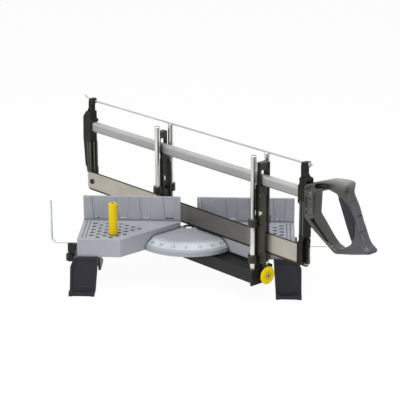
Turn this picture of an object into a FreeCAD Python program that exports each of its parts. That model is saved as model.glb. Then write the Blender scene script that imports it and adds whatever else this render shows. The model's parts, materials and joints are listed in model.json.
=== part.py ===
# Manual mitre saw: a cast table with two fences, a swinging arm that carries
# four posts, two guides that ride on the posts, and a framed saw that slides
# through the guides.  Millimetres, Z up, bench surface at Z = 0, the swing
# axis of the arm is the Z axis and the fence face lies in the plane Y = 0.
import FreeCAD, Part
import Sketcher
import math
import os

V = FreeCAD.Vector
doc = FreeCAD.newDocument("mitre_saw")


# Sizes in one sheet
SIZES = [
    ("table_top", 88, "height of the table above the bench"),
    ("top_thick", 4, "thickness of the table plate"),
    ("wall", 3.5, "thickness of the cast walls"),
    ("skirt", 30.5, "height of the skirt round the table"),
    ("wing_half", 180.5, "half the width of the table"),
    ("wing_depth", 101, "fence face to the front edge"),
    ("gap_half", 14.2, "half the gap between the fences"),
    ("diag_gap", 5.5, "blade plane to the slanting wall at full swing"),
    ("fence_height", 42.5, "fence above the table"),
    ("fence_thick", 5, "fence thickness"),
    ("hole_dia", 8.2, "peg holes"),
    ("pitch_x", 11, "peg hole columns"),
    ("pitch_y", 15.2, "peg hole rows"),
    ("hole_inset", 99, "table end to the innermost peg hole column"),
    ("hole_first", 19.5, "first peg hole row"),
    ("plate_drop", 10, "table top to the sector plate"),
    ("plate_thick", 4, "sector plate thickness"),
    ("plate_radius", 76, "where the flat of the sector ends"),
    ("scale_width", 15, "width of the bevel round that flat"),
    ("scale_drop", 20.5, "depth of the bevel's outer edge"),
    ("rim_width", 3, "width of the rim round the bevel"),
    ("rim_drop", 23.5, "top edge of the rim face"),
    ("band_thick", 0.8, "scale band sheet"),
    ("hub_radius", 12, "pivot hub"),
    ("hub_foot", 5, "arm's lower edge to the foot of the hub"),
    ("bolt_dia", 8, "pivot bolt"),
    ("run_gap", 0.05, "radial gap of running fits"),
    ("slide_gap", 0.1, "gap of sliding fits"),
    ("under_gap", 4.5, "skirt to the arm below it"),
    ("arm_height", 22, "height of the swinging arm"),
    ("arm_half", 24, "half its width"),
    ("arm_rear", 86, "pivot to its rear end"),
    ("nose_wall", 2.3, "arm material ahead of the front posts"),
    ("post_dia", 9.5, "guide posts"),
    ("post_half", 15, "blade plane to a post axis"),
    ("front_post", 172, "pivot to the front posts"),
    ("rear_post", 63, "pivot to the rear posts"),
    ("post_rise", 158, "posts above the table"),
    ("ring_radius", 7.8, "outside of the guide rings"),
    ("ring_height", 13, "height of a guide ring"),
    ("guide_drop", 24, "table top to the foot of a guide"),
    ("guide_rise", 146, "table top to the head of a guide"),
    ("guide_half", 9, "half the width over a guide's walls"),
    ("guide_wall", 3, "wall of a guide"),
    ("blade_length", 560, "saw blade"),
    ("blade_height", 36, "saw blade"),
    ("blade_thick", 1, "saw blade"),
    ("blade_drop", 6.8, "teeth below the table top"),
    ("blade_rear", 275.5, "pivot to the toe end of the blade"),
    ("tube_height", 18, "frame tube"),
    ("tube_width", 10, "frame tube"),
    ("tube_wall", 1.2, "frame tube"),
    ("tube_rise", 116, "table top to the middle of the tube"),
    ("rod_dia", 3, "tension rod"),
    ("rod_rise", 164.3, "table top to the tension rod"),
    ("handle_thick", 24, "handle"),
    ("knob_radius", 15, "lock knob"),
    ("spindle_dia", 8, "lock spindle"),
    ("pad_size", 12, "square lock pad that the spindle drives"),
    ("pad_gap", 0.15, "pad to the hub when locked"),
    ("peg_dia", 14.5, "cam peg"),
    ("peg_height", 54.5, "cam peg"),
    ("peg_offset", 3, "peg axis to its pin"),
    ("stop_dia", 4, "length stop rod"),
    ("stop_back", 36, "fence face to the stop rod"),
    ("stop_drop", 28.5, "table top to the stop rod"),
    ("stop_reach", 51, "table end out to the upright of the stop rod"),
    ("stop_tail", 55.5, "table end out to its plain end"),
    ("leg_out", 5.5, "table end out to the outer side of a leg"),
    ("leg_width", 34, "width of a leg"),
    ("leg_wall", 4, "wall of a leg"),
    ("foot_reach", 33, "front edge of the table out to the toe"),
    ("foot_thick", 6, "toe flange"),
    ("screw_dia", 5, "assembly screws"),
]
sheet = doc.addObject("Spreadsheet::Sheet", "Sizes")
for row, (word, value, note) in enumerate(SIZES, start=1):
    sheet.set("A%d" % row, note)
    sheet.set("B%d" % row, str(value))
    sheet.setAlias("B%d" % row, word)
doc.recompute()


class Size:
    """A length that knows its value and the formula behind it."""

    def __init__(self, text, value):
        self.text = text
        self.value = float(value)

    @staticmethod
    def of(other):
        if isinstance(other, Size):
            return other
        return Size("%.6g" % other, other)

    def __add__(self, other):
        o = Size.of(other)
        return Size("(%s + %s)" % (self.text, o.text), self.value + o.value)

    def __radd__(self, other):
        return Size.of(other) + self

    def __sub__(self, other):
        o = Size.of(other)
        return Size("(%s - (%s))" % (self.text, o.text), self.value - o.value)

    def __rsub__(self, other):
        return Size.of(other) - self

    def __mul__(self, other):
        o = Size.of(other)
        return Size("(%s * %s)" % (self.text, o.text), self.value * o.value)

    def __rmul__(self, other):
        return Size.of(other) * self

    def __truediv__(self, other):
        o = Size.of(other)
        return Size("(%s / %s)" % (self.text, o.text), self.value / o.value)

    def __neg__(self):
        return Size("(0 - %s)" % self.text, -self.value)


class Sheet:
    """Gives every alias of the sheet as a Size."""

    def __getattr__(self, word):
        return Size("Sizes." + word, getattr(sheet, word))


s = Sheet()
ROOT_TWO = 1.414214


# Sides of small holes and screws, of the many peg holes and of rings and collars
FEW = 8
PEG_SIDES = 8
RING_SIDES = 16


# Small builders, each bound to the sheet
def bind(obj, prop, size):
    size = Size.of(size)
    if "Sizes." in size.text:
        obj.setExpression(prop, size.text)


def place(obj, x, y, z, rotation=None):
    x, y, z = Size.of(x), Size.of(y), Size.of(z)
    turn = rotation or FreeCAD.Rotation()
    obj.Placement = FreeCAD.Placement(V(x.value, y.value, z.value), turn)
    bind(obj, "Placement.Base.x", x)
    bind(obj, "Placement.Base.y", y)
    bind(obj, "Placement.Base.z", z)
    return obj


def box(name, x, y, z):
    """Block between the pairs x, y and z."""
    obj = doc.addObject("Part::Box", name)
    for prop, pair in (("Length", x), ("Width", y), ("Height", z)):
        extent = Size.of(pair[1]) - Size.of(pair[0])
        setattr(obj, prop, extent.value)
        bind(obj, prop, extent)
    return place(obj, x[0], y[0], z[0])


AXES = {
    "x": FreeCAD.Rotation(V(0, 1, 0), 90),
    "y": FreeCAD.Rotation(V(1, 0, 0), -90),
    "z": FreeCAD.Rotation(),
}


def rod(name, axis, start, length, radius, sides=0):
    """Cylinder from the point start along the named axis, or a prism round it with few sides."""
    if sides:
        obj = doc.addObject("Part::Prism", name)
        obj.Polygon = sides
        radius = Size.of(radius) * round(1 / math.cos(math.pi / sides), 6)
    else:
        obj = doc.addObject("Part::Cylinder", name)
    for prop, size in (("Circumradius" if sides else "Radius", radius), ("Height", length)):
        setattr(obj, prop, Size.of(size).value)
        bind(obj, prop, size)
    return place(obj, start[0], start[1], start[2], AXES[axis])


PLANES = {
    "top": (FreeCAD.Rotation(), V(0, 0, 1)),
    "front": (FreeCAD.Rotation(V(1, 0, 0), 90), V(0, 1, 0)),
    "side": (FreeCAD.Rotation(V(1, 1, 1), 120), V(1, 0, 0)),
}


def outline(name, points, plane, level):
    """Closed sketch; every corner is dimensioned from the origin."""
    sk = doc.addObject("Sketcher::SketchObject", name)
    pts = [(Size.of(a), Size.of(b)) for a, b in points]
    n = len(pts)
    for i in range(n):
        a, b = pts[i], pts[(i + 1) % n]
        line = Part.LineSegment(V(a[0].value, a[1].value, 0), V(b[0].value, b[1].value, 0))
        sk.addGeometry(line, False)
    ties = [Sketcher.Constraint("Coincident", i, 2, (i + 1) % n, 1) for i in range(n)]
    for i, (a, b) in enumerate(pts):
        ties.append(Sketcher.Constraint("DistanceX", -1, 1, i, 1, a.value))
        ties.append(Sketcher.Constraint("DistanceY", -1, 1, i, 1, b.value))
    sk.addConstraint(ties)
    for i, (a, b) in enumerate(pts):
        bind(sk, "Constraints[%d]" % (n + 2 * i), a)
        bind(sk, "Constraints[%d]" % (n + 2 * i + 1), b)
    turn = PLANES[plane][0]
    if plane == "top":
        place(sk, 0, 0, level, turn)
    elif plane == "front":
        place(sk, 0, level, 0, turn)
    else:
        place(sk, level, 0, 0, turn)
    return sk


def slab(name, points, plane, low, high):
    """Prism over an outline between two levels."""
    sk = outline(name + "_sketch", points, plane, low)
    obj = doc.addObject("Part::Extrusion", name)
    obj.Base = sk
    obj.DirMode = "Custom"
    obj.Dir = PLANES[plane][1]
    obj.Solid = True
    deep = Size.of(high) - Size.of(low)
    obj.LengthFwd = deep.value
    bind(obj, "LengthFwd", deep)
    return obj


def turned(name, points, angle, start):
    """Solid of revolution about Z; the outline is given as radius, height."""
    sk = outline(name + "_sketch", points, "front", 0)
    obj = doc.addObject("Part::Revolution", name)
    obj.Source = sk
    obj.Axis = V(0, 0, 1)
    obj.Base = V(0, 0, 0)
    obj.Angle = angle
    obj.Solid = True
    obj.Placement = FreeCAD.Placement(V(0, 0, 0), FreeCAD.Rotation(V(0, 0, 1), start))
    return obj


def fuse(name, *shapes):
    obj = doc.addObject("Part::MultiFuse", name)
    obj.Shapes = list(shapes)
    obj.Refine = True
    return obj


def cut(name, base, *tools):
    tool = tools[0]
    if len(tools) > 1:
        tool = doc.addObject("Part::Compound", name + "_tools")
        tool.Links = list(tools)
    obj = doc.addObject("Part::Cut", name)
    obj.Base = base
    obj.Tool = tool
    obj.Refine = True
    return obj


def group(name, *shapes):
    obj = doc.addObject("Part::Compound", name)
    obj.Links = list(shapes)
    return obj


def mirrored(name, source):
    """The same piece on the other side of the saw."""
    obj = doc.addObject("Part::Mirroring", name)
    obj.Source = source
    obj.Base = V(0, 0, 0)
    obj.Normal = V(1, 0, 0)
    return obj


def screw(name, axis, head, length, radius, head_length, head_radius, way=1):
    """Cheese-head screw; head is the seat of the head, way the shank direction."""
    shank_start = list(head)
    head_start = list(head)
    k = "xyz".index(axis)
    if way > 0:
        head_start[k] = Size.of(head[k]) - head_length
    else:
        shank_start[k] = Size.of(head[k]) - length
    shank = rod(name + "_shank", axis, shank_start, length, radius, FEW)
    top = rod(name + "_head", axis, head_start, head_length, head_radius, FEW)
    return fuse(name, shank, top)


NODES = []


def node(label, obj, turn=None):
    """Marks a finished piece; arm pieces are turned with the arm."""
    obj.Label = label
    if turn is not None:
        obj.Placement = turn
    NODES.append((label, obj))
    return obj


# The arm stands at full swing to the right
ARM = FreeCAD.Placement(V(0, 0, 0), FreeCAD.Rotation(V(0, 0, 1), -45))


# Levels used by several pieces
top = s.table_top
under = s.table_top - s.skirt
plate_top = s.table_top - s.plate_drop
plate_low = plate_top - s.plate_thick
arm_top = under - s.under_gap
arm_low = arm_top - s.arm_height
nose = s.front_post + s.post_dia / 2 + s.nose_wall

# Places along the table that keep their distance from its end
first_column = s.wing_half - s.hole_inset
leg_outer = s.wing_half + s.leg_out
leg_inner = leg_outer - s.leg_width
leg_screw_x = s.wing_half - 9.5
LEG_SCREWS = (-78, -14)


# Base casting, right half first
def wing_corners(inset):
    """Plan of a wing, moved inward by inset."""
    lean = (s.diag_gap + inset) * ROOT_TWO
    back = s.fence_thick - inset
    front = s.wing_depth - inset
    inner = s.gap_half + inset
    outer = s.wing_half - inset
    return [
        (inner, back),
        (outer, back),
        (outer, -front),
        (front + lean, -front),
        (inner, lean - inner),
    ]


zero = Size("0", 0)
wing = slab("wing_block", wing_corners(zero), "top", under, top)
hollow = slab("wing_hollow", wing_corners(s.wall), "top", under - 1, top - s.top_thick)
wing_shell = cut("wing_shell", wing, hollow)
fence = box("fence_block", (s.gap_half, s.wing_half), (0, s.fence_thick),
            (top - s.top_thick, top + s.fence_height))
ribs = []
for k, at in enumerate((0.2, 0.52, 0.84)):
    x = s.gap_half + (s.wing_half - s.gap_half) * at
    back = s.fence_thick - 0.5
    ribs.append(slab("fence_rib_%d" % k, [(back, under), (back + 7, under),
                                           (back + 7, top - 10), (back, top + 32)],
                     "side", x, x + 3.5))
leg_bosses = []
for k, y in enumerate(LEG_SCREWS):
    leg_bosses.append(rod("leg_boss_%d" % k, "z", (leg_screw_x, y, under), s.skirt - 1, 5, FEW))
wing_solid = fuse("wing_solid", wing_shell, fence, *ribs, *leg_bosses)

# Peg holes in alternate rows, fewer towards the slanting wall
ROWS = [(1, 1), (1, 2), (0, 4), (0, 5), (0, 5), (0, 5), (0, 5)]
cutters = []
for k, (first, count) in enumerate(ROWS):
    x = first_column + s.pitch_x * k
    for j in range(first, first + count):
        shift = j + (0.5 if k % 2 == 0 else 0)
        y = -(s.hole_first + s.pitch_y * shift)
        cutters.append(rod("peg_hole_%d_%d" % (k, j), "z", (x, y, top - s.top_thick - 1),
                           s.top_thick + 2, s.hole_dia / 2, PEG_SIDES))
blind = first_column + s.pitch_x * 7
for j in range(5):
    y = -(s.hole_first + s.pitch_y * j)
    cutters.append(rod("blind_hole_%d" % j, "z", (blind, y, top - 1.6), 3, s.hole_dia / 2, PEG_SIDES))
for k, inset in enumerate((8, 14)):
    x = s.wing_half - inset
    cutters.append(box("edge_groove_%d" % k, (x, x + 1.6), (-(s.wing_depth - 9), -8),
                       (top - 1, top + 1)))

# Tapered recesses of the fence at shares of its length, each with a slot at its foot
for k, share in enumerate((0.113, 0.36, 0.594, 0.847)):
    at = s.gap_half + (s.wing_half - s.gap_half) * share
    foot = top + 3
    crown = top + s.fence_height + 1
    cutters.append(slab("fence_recess_%d" % k, [(at - 8, foot), (at + 8, foot),
                                                 (at + 12, crown), (at - 12, crown)],
                        "front", -1, 0.9))
    cutters.append(box("fence_slot_%d" % k, (at - 7, at + 7), (-1, s.fence_thick + 1),
                       (foot, foot + 1.9)))
    cutters.append(box("fence_slot_relief_%d" % k, (at - 7, at + 7),
                       (s.fence_thick - 3, s.fence_thick + 1), (foot, foot + 4)))

# Notch for the stop rod under the table
stop_level = top - s.stop_drop
notch = s.stop_dia / 2 + 0.4
cutters.append(box("stop_notch", (0, s.wing_half + 1), (-s.stop_back - notch, -s.stop_back + notch),
                   (under - 1, stop_level + notch)))
for k, y in enumerate(LEG_SCREWS):
    cutters.append(rod("leg_screw_hole_%d" % k, "z", (leg_screw_x, y, under - 1), 17,
                       s.screw_dia / 2, FEW))
right_wing = cut("right_wing", wing_solid, *cutters)
left_wing = mirrored("left_wing", right_wing)

# Sector with its bevelled band; the band sheet lies in a shallow seat
scale_radius = s.plate_radius + s.scale_width
rim_radius = scale_radius + s.rim_width
seat_in = s.plate_radius + 1.2
seat_out = scale_radius - 0.6
rise = (s.scale_drop - s.plate_drop) / s.scale_width


def bevel(radius):
    return plate_top - (radius - s.plate_radius) * rise


WEDGE = 53.0
BAND = 48.0
rim_low = under - 0.5
sector = turned("sector", [
    (zero, plate_low),
    (zero, plate_top),
    (s.plate_radius, plate_top),
    (seat_in, bevel(seat_in)),
    (seat_in, bevel(seat_in) - s.band_thick),
    (seat_out, bevel(seat_out) - s.band_thick),
    (seat_out, bevel(seat_out)),
    (scale_radius, top - s.scale_drop),
    (rim_radius, top - s.rim_drop),
    (rim_radius, rim_low),
    (rim_radius - s.wall, rim_low),
    (rim_radius - s.wall, top - s.rim_drop - 3.4),
    (s.plate_radius - 1.5, plate_low),
], 2 * WEDGE, -90 - WEDGE)
scale_band = turned("scale_band", [
    (seat_in, bevel(seat_in) - s.band_thick),
    (seat_in, bevel(seat_in)),
    (seat_out, bevel(seat_out)),
    (seat_out, bevel(seat_out) - s.band_thick),
], 2 * BAND, -90 - BAND)
heart = turned("sector_heart", [
    (zero, plate_low),
    (zero, plate_top),
    (s.plate_radius / 2 + 3, plate_top),
    (s.plate_radius / 2 + 3, plate_low),
], 168, -174)
strip = box("centre_strip", (-s.gap_half - 1, s.gap_half + 1), (-8, 3), (plate_low, plate_top))
strip_web = box("centre_web", (-s.gap_half - 1, s.gap_half + 1), (-2, 2), (under + 1, plate_low + 1))
hub_low = arm_low + s.hub_foot
hub = rod("hub", "z", (0, 0, hub_low), plate_top - hub_low, s.hub_radius)
body = fuse("base_body", left_wing, right_wing, sector, heart, strip, strip_web, hub)
head_seat = plate_top - 6
base = cut("base_machined", body,
           rod("bolt_bore", "z", (0, 0, hub_low - 1), plate_top - hub_low, s.bolt_dia / 2 + s.run_gap,
               RING_SIDES),
           rod("bolt_seat", "z", (0, 0, head_seat), 10, s.hub_radius - 2.5, RING_SIDES))
node("base_casting", base)
node("scale_band", scale_band)

# Pivot bolt from above, flanged nut against the foot of the hub
nut_height = 6
flange_height = 2
nut_low = hub_low - flange_height - nut_height
bolt = fuse("bolt_solid",
            rod("bolt_shank", "z", (0, 0, nut_low - 1), head_seat - nut_low + 1, s.bolt_dia / 2),
            rod("bolt_flange", "z", (0, 0, head_seat), 1.2, s.hub_radius - 3.2, RING_SIDES),
            rod("bolt_head", "z", (0, 0, head_seat + 1), 3.4, 5.6, 6))
node("pivot_bolt", bolt)
nut = fuse("nut_solid",
           rod("nut_hex", "z", (0, 0, nut_low), nut_height + 1, 6.5, 6),
           rod("nut_flange", "z", (0, 0, hub_low - flange_height), flange_height, s.hub_radius + 3.5,
               RING_SIDES))
node("pivot_nut", cut("nut_bored", nut,
                      rod("nut_bore", "z", (0, 0, nut_low - 1), 14, s.bolt_dia / 2, RING_SIDES)))


# Legs: a sloping front panel between two cheeks, hollow behind, with a slotted toe and heel
front_y = -(s.wing_depth + 4)
back_y = 12
lift = under
panel_in = leg_inner - 6.5
panel_out = s.wing_half + 5
toe_y = front_y + 4 - s.foot_reach
toe_step = toe_y + 16
heel_y = back_y + 19


def leg_front(name, inset, low, y):
    """Front view of the leg, moved inward by inset, as a solid between two depths."""
    return slab(name, [
        (panel_in + inset, lift - low),
        (panel_out - inset, lift - low),
        (leg_outer + 6 - inset, lift - 15),
        (leg_outer + 6.5 - inset, -1 + low),
        (panel_in + 4.5 + inset, -1 + low),
    ], "front", y[0], y[1])


def common(name, first, second):
    obj = doc.addObject("Part::Common", name)
    obj.Base = first
    obj.Tool = second
    return obj


side_view = slab("leg_side", [
    (back_y, lift),
    (front_y, lift),
    (toe_step, s.foot_thick),
    (toe_y, s.foot_thick),
    (toe_y, 0),
    (front_y + 24, 0),
    (front_y + 34, lift - 24),
    (back_y - 34, lift - 24),
    (back_y - 24, 0),
    (heel_y, 0),
    (heel_y, s.foot_thick),
    (back_y, s.foot_thick),
], "side", leg_inner, leg_outer)
panel_depth = 2.5
web = panel_depth + s.leg_wall
rim_side = slab("rim_side", [
    (front_y + web, lift),
    (front_y, lift),
    (toe_step, s.foot_thick),
    (toe_y, s.foot_thick),
    (toe_y, 0),
    (toe_step + web, 0),
], "side", panel_in - 1, leg_outer + 8)
panel_side = slab("panel_side", [
    (front_y + panel_depth, lift + 1),
    (toe_step + panel_depth, s.foot_thick + 4),
    (toe_y, s.foot_thick + 4),
    (toe_y, lift + 1),
], "side", panel_in, leg_outer + 8)
hollow_side = slab("hollow_side", [
    (back_y - s.leg_wall, -1),
    (back_y - s.leg_wall, lift - s.leg_wall),
    (front_y + web, lift - s.leg_wall),
    (toe_step + web, s.foot_thick),
    (toe_step + web, -1),
], "side", leg_inner + s.leg_wall, leg_outer - s.leg_wall)
depth = (toe_y - 1, heel_y + 1)
panel = common("leg_panel", leg_front("panel_front", s.leg_wall - 0.5, 3.5, depth), panel_side)
mid_x = (leg_inner + leg_outer) / 2
slots = []
for k, y in enumerate((toe_y + 8, heel_y - 9)):
    slots.append(box("bench_slot_%d" % k, (mid_x - 3, mid_x + 3), (y - 2.75, y + 2.75),
                     (-1, s.foot_thick + 1)))
    for side in (-3, 3):
        slots.append(rod("bench_slot_end_%d_%d" % (k, side), "z", (mid_x + side, y, -1),
                         s.foot_thick + 2, 2.75))
leg_drill = [rod("leg_drill_%d" % k, "z", (leg_screw_x, y, lift - 6), 8, s.screw_dia / 2, FEW)
             for k, y in enumerate(LEG_SCREWS)]
rod_relief = box("leg_rod_relief", (panel_in - 1, leg_outer + 8),
                 (-s.stop_back - notch, -s.stop_back + notch), (lift - 0.8, lift + 1))
clip_drill = [rod("clip_drill_%d" % k, "x", (leg_outer - 6, -s.stop_back + dy, stop_level - 11.5),
                  8, 1.75, FEW) for k, dy in enumerate((-12, 12))]
rim = common("leg_rim", leg_front("leg_outline", zero, zero, depth), rim_side)
leg_block = fuse("leg_block", side_view, rim)
pads = [box("toe_pad_%d" % k, (x, x + 6), (toe_y - 1.5, toe_y + 6), (0, s.foot_thick + 1.5))
        for k, x in enumerate((panel_in + 4.5, leg_outer + 0.5))]
leg_solid = fuse("leg_solid", cut("leg_hollowed", leg_block, panel, hollow_side), *pads)
right_leg = cut("leg_finished", leg_solid, rod_relief, *slots, *leg_drill, *clip_drill)
node("right_leg", right_leg)
node("left_leg", mirrored("leg_mirrored", right_leg))
leg_screws = []
for k, y in enumerate(LEG_SCREWS):
    leg_screws.append(screw("leg_screw_%d" % k, "z", (leg_screw_x, y, lift - 4), 17,
                            s.screw_dia / 2, 3, 4.5))
pair = group("leg_screw_pair", *leg_screws)
node("leg_screws", group("leg_screw_set", pair, mirrored("leg_screw_mirror", pair)))


# Clips that hold the stop rod against the legs
clip_in = leg_outer
clip_y = (-s.stop_back - 8, -s.stop_back + 8)
block_top = stop_level - 0.9
clip_block = box("clip_block", (clip_in, clip_in + 18), clip_y, (stop_level - 14.5, block_top))
clip_neck = box("clip_neck", (clip_in, clip_in + 12), clip_y, (stop_level - 18.2, stop_level - 14))
clip_plate = box("clip_plate", (clip_in, clip_in + 3), (-s.stop_back - 16, -s.stop_back + 16),
                 (stop_level - 18.2, stop_level - 3))
v_cut = slab("clip_vee", [(clip_in + 10, block_top + 1), (clip_in + 14, block_top + 1),
                           (clip_in + 12, block_top - 3)], "front", clip_y[0] - 1, clip_y[1] + 1)
rod_seat = box("clip_rod_seat", (clip_in - 1, clip_in + 19),
               (-s.stop_back - s.stop_dia / 2 - 0.1, -s.stop_back + s.stop_dia / 2 + 0.1),
               (stop_level - s.stop_dia / 2 - 0.1, stop_level + 3))
knob_x = clip_in + 14
stem_hole = rod("clip_stem_hole", "z", (knob_x, -s.stop_back, stop_level - 19), 13, 2.05, RING_SIDES)
clip_holes = [rod("clip_hole_%d" % k, "x", (clip_in - 1, -s.stop_back + dy, stop_level - 11.5),
                  6, 1.75, FEW) for k, dy in enumerate((-12, 12))]
right_clip = cut("clip_finished", fuse("clip_solid", clip_block, clip_neck, clip_plate),
                 v_cut, rod_seat, stem_hole, *clip_holes)
node("right_clip", right_clip)
node("left_clip", mirrored("clip_mirrored", right_clip))
right_clip_knob = fuse("clip_knob_solid",
                       rod("clip_knob_body", "z", (knob_x, -s.stop_back, stop_level - 32.5), 12, 8, 12),
                       rod("clip_knob_collar", "z", (knob_x, -s.stop_back, stop_level - 20.6), 2, 5, 12),
                       rod("clip_knob_stem", "z", (knob_x, -s.stop_back, stop_level - 21), 12, 2))
node("right_clip_knob", right_clip_knob)
node("left_clip_knob", mirrored("clip_knob_mirrored", right_clip_knob))
clip_screws = [screw("clip_screw_%d" % k, "x", (clip_in + 3, -s.stop_back + dy, stop_level - 11.5),
                     8, 1.75, 1.8, 3.2, -1) for k, dy in enumerate((-12, 12))]
clip_pair = group("clip_screw_pair", *clip_screws)
node("clip_screws", group("clip_screw_set", clip_pair, mirrored("clip_screw_mirror", clip_pair)))

# Length stop: one long rod with an upright at its left end
bend = 6
left = -(s.wing_half + s.stop_reach)
right = s.wing_half + s.stop_tail
stop_r = s.stop_dia / 2
elbow = rod("stop_elbow", "z", (left, -s.stop_back, stop_level + bend), 1, stop_r, 12)
elbow.Height = bend * ROOT_TWO + 0.4
place(elbow, left + bend + 0.15, -s.stop_back, stop_level - 0.15, FreeCAD.Rotation(V(0, 1, 0), -45))
stop_rod = fuse("stop_solid",
                rod("stop_run", "x", (left + bend - 0.6, -s.stop_back, stop_level),
                    right - left - bend + 0.6, stop_r, 12),
                rod("stop_upright", "z", (left, -s.stop_back, stop_level + bend - 0.6), 69, stop_r, 12),
                elbow)
node("stop_rod", stop_rod)


# Cam peg standing in one of the holes of the left wing
pin_x = -(first_column + s.pitch_x * 4)
pin_y = -(s.hole_first + s.pitch_y * 3.5)
peg_r = s.peg_dia / 2
peg_x = pin_x + s.peg_offset
shaft = rod("peg_shaft", "z", (peg_x, pin_y, top + 0.2), s.peg_height - 0.2, peg_r)
pin = rod("peg_pin", "z", (pin_x, pin_y, top - 7), 7.5, s.hole_dia / 2 - s.slide_gap)
socket = rod("peg_socket", "z", (peg_x, pin_y, top + s.peg_height - 9), 10, 2.8, 6)
node("cam_peg", cut("peg_finished", fuse("peg_solid", shaft, pin), socket))


# Swinging arm, an open-bottomed channel with blocks for the posts
half = s.arm_half
rear = -s.arm_rear
shell = box("arm_shell", (rear, nose), (-half, half), (arm_low, arm_top))
void = box("arm_void", (rear + s.wall, nose - s.wall), (-half + s.wall, half - s.wall),
           (arm_low - 1, arm_top - s.top_thick))
front_block = box("arm_front_block", (s.front_post - 12, nose), (-half, half), (arm_low, arm_top))
rear_block = box("arm_rear_block", (rear, -s.rear_post + 12), (-half, half), (arm_low, arm_top))
lip = box("arm_lip", (nose - 3, nose), (-half, half), (arm_low - 5, arm_low + 1))
arm_hub = rod("arm_hub", "z", (0, 0, hub_low + s.slide_gap), arm_top - hub_low - s.slide_gap,
              s.hub_radius + 4, RING_SIDES)
bearing_end = s.front_post - 15
bearing = box("arm_bearing", (bearing_end - 5, bearing_end), (-half + 1, half - 1),
              (arm_low + 2, arm_top - 1))
arm_ribs = [box("arm_rib_%d" % k, (x, x + 2.5), (-half + 1, half - 1), (arm_low + 4, arm_top - 1))
            for k, x in enumerate((-28, 26, 62))]
post_deep = 14
bores = []
for k, (x, y) in enumerate(((s.front_post, s.post_half), (s.front_post, -s.post_half),
                            (-s.rear_post, s.post_half), (-s.rear_post, -s.post_half))):
    bores.append(rod("post_bore_%d" % k, "z", (x, y, arm_top - post_deep), post_deep + 1,
                     s.post_dia / 2, RING_SIDES))
spin_z = arm_top - 10
spin_r = s.spindle_dia / 2
spindle_bore = rod("spindle_bore", "x", (50, 0, spin_z), nose - 49, spin_r + s.slide_gap, RING_SIDES)
pad_half = s.pad_size / 2
slot_half = pad_half + s.slide_gap
pad_slot = box("pad_slot", (s.hub_radius - 2, 34), (-slot_half, slot_half),
               (spin_z - slot_half, spin_z + slot_half))
hub_bore = rod("arm_hub_bore", "z", (0, 0, arm_low - 1), s.arm_height + 2, s.hub_radius + s.run_gap,
               RING_SIDES)
arm_shape = cut("arm_finished",
                fuse("arm_solid", cut("arm_channel", shell, void), front_block, rear_block, lip,
                     arm_hub, bearing, *arm_ribs),
                spindle_bore, pad_slot, hub_bore, *bores)
node("swing_arm", arm_shape, ARM)


# Posts, pressed into the arm's blocks
POSTS = [
    ("front_post_right", s.front_post, s.post_half),
    ("front_post_left", s.front_post, -s.post_half),
    ("rear_post_right", -s.rear_post, s.post_half),
    ("rear_post_left", -s.rear_post, -s.post_half),
]
for label, x, y in POSTS:
    low = arm_top - post_deep
    stick = rod(label + "_stick", "z", (x, y, low), top + s.post_rise - low, s.post_dia / 2)
    node(label, group(label + "_placed", stick), ARM)


# Lock: knob and spindle turn together and drive a pad along the arm against the hub
knob_r = s.knob_radius
knob = fuse("knob_solid",
            rod("knob_collar", "z", (0, 0, 0), 4, knob_r - 5, RING_SIDES),
            rod("knob_rim", "z", (0, 0, 3), 7, knob_r, RING_SIDES),
            rod("knob_front", "z", (0, 0, 9), 2, knob_r - 1.5, RING_SIDES))
knob_cut = cut("knob_bored", knob,
               rod("knob_bore", "z", (0, 0, -1), 7, spin_r, RING_SIDES),
               rod("knob_dish", "z", (0, 0, 9.6), 3, 5.4, RING_SIDES),
               rod("knob_screw_hole", "z", (0, 0, 0), 12, 2, FEW))
place(knob_cut, nose + 4, 0, spin_z, AXES["x"])
node("lock_knob", group("knob_placed", knob_cut), ARM)
pad_start = s.hub_radius + s.pad_gap
pad_end = pad_start + s.pad_size * 4 / 3
spindle_start = pad_end - 8
spindle = fuse("spindle_solid",
               rod("spindle_rod", "x", (spindle_start, 0, spin_z), nose + 10 - spindle_start, spin_r),
               rod("spindle_collar", "x", (bearing_end + 0.1, 0, spin_z), 2.8, spin_r + 1.5, FEW))
node("lock_spindle", cut("spindle_tapped", spindle,
                         rod("spindle_tap", "x", (nose - 1, 0, spin_z), 12, 2, FEW)), ARM)
node("knob_screw", screw("knob_screw_solid", "x", (nose + 13.6, 0, spin_z), 12, 2, 2, 3.6, -1), ARM)
pad_block = box("pad_block", (pad_start, pad_end), (-pad_half, pad_half),
                (spin_z - pad_half, spin_z + pad_half))
pad_thread = rod("pad_thread", "x", (spindle_start - 3, 0, spin_z), 20, spin_r + 0.02, RING_SIDES)
node("lock_pad", cut("pad_tapped", pad_block, pad_thread), ARM)


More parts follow.
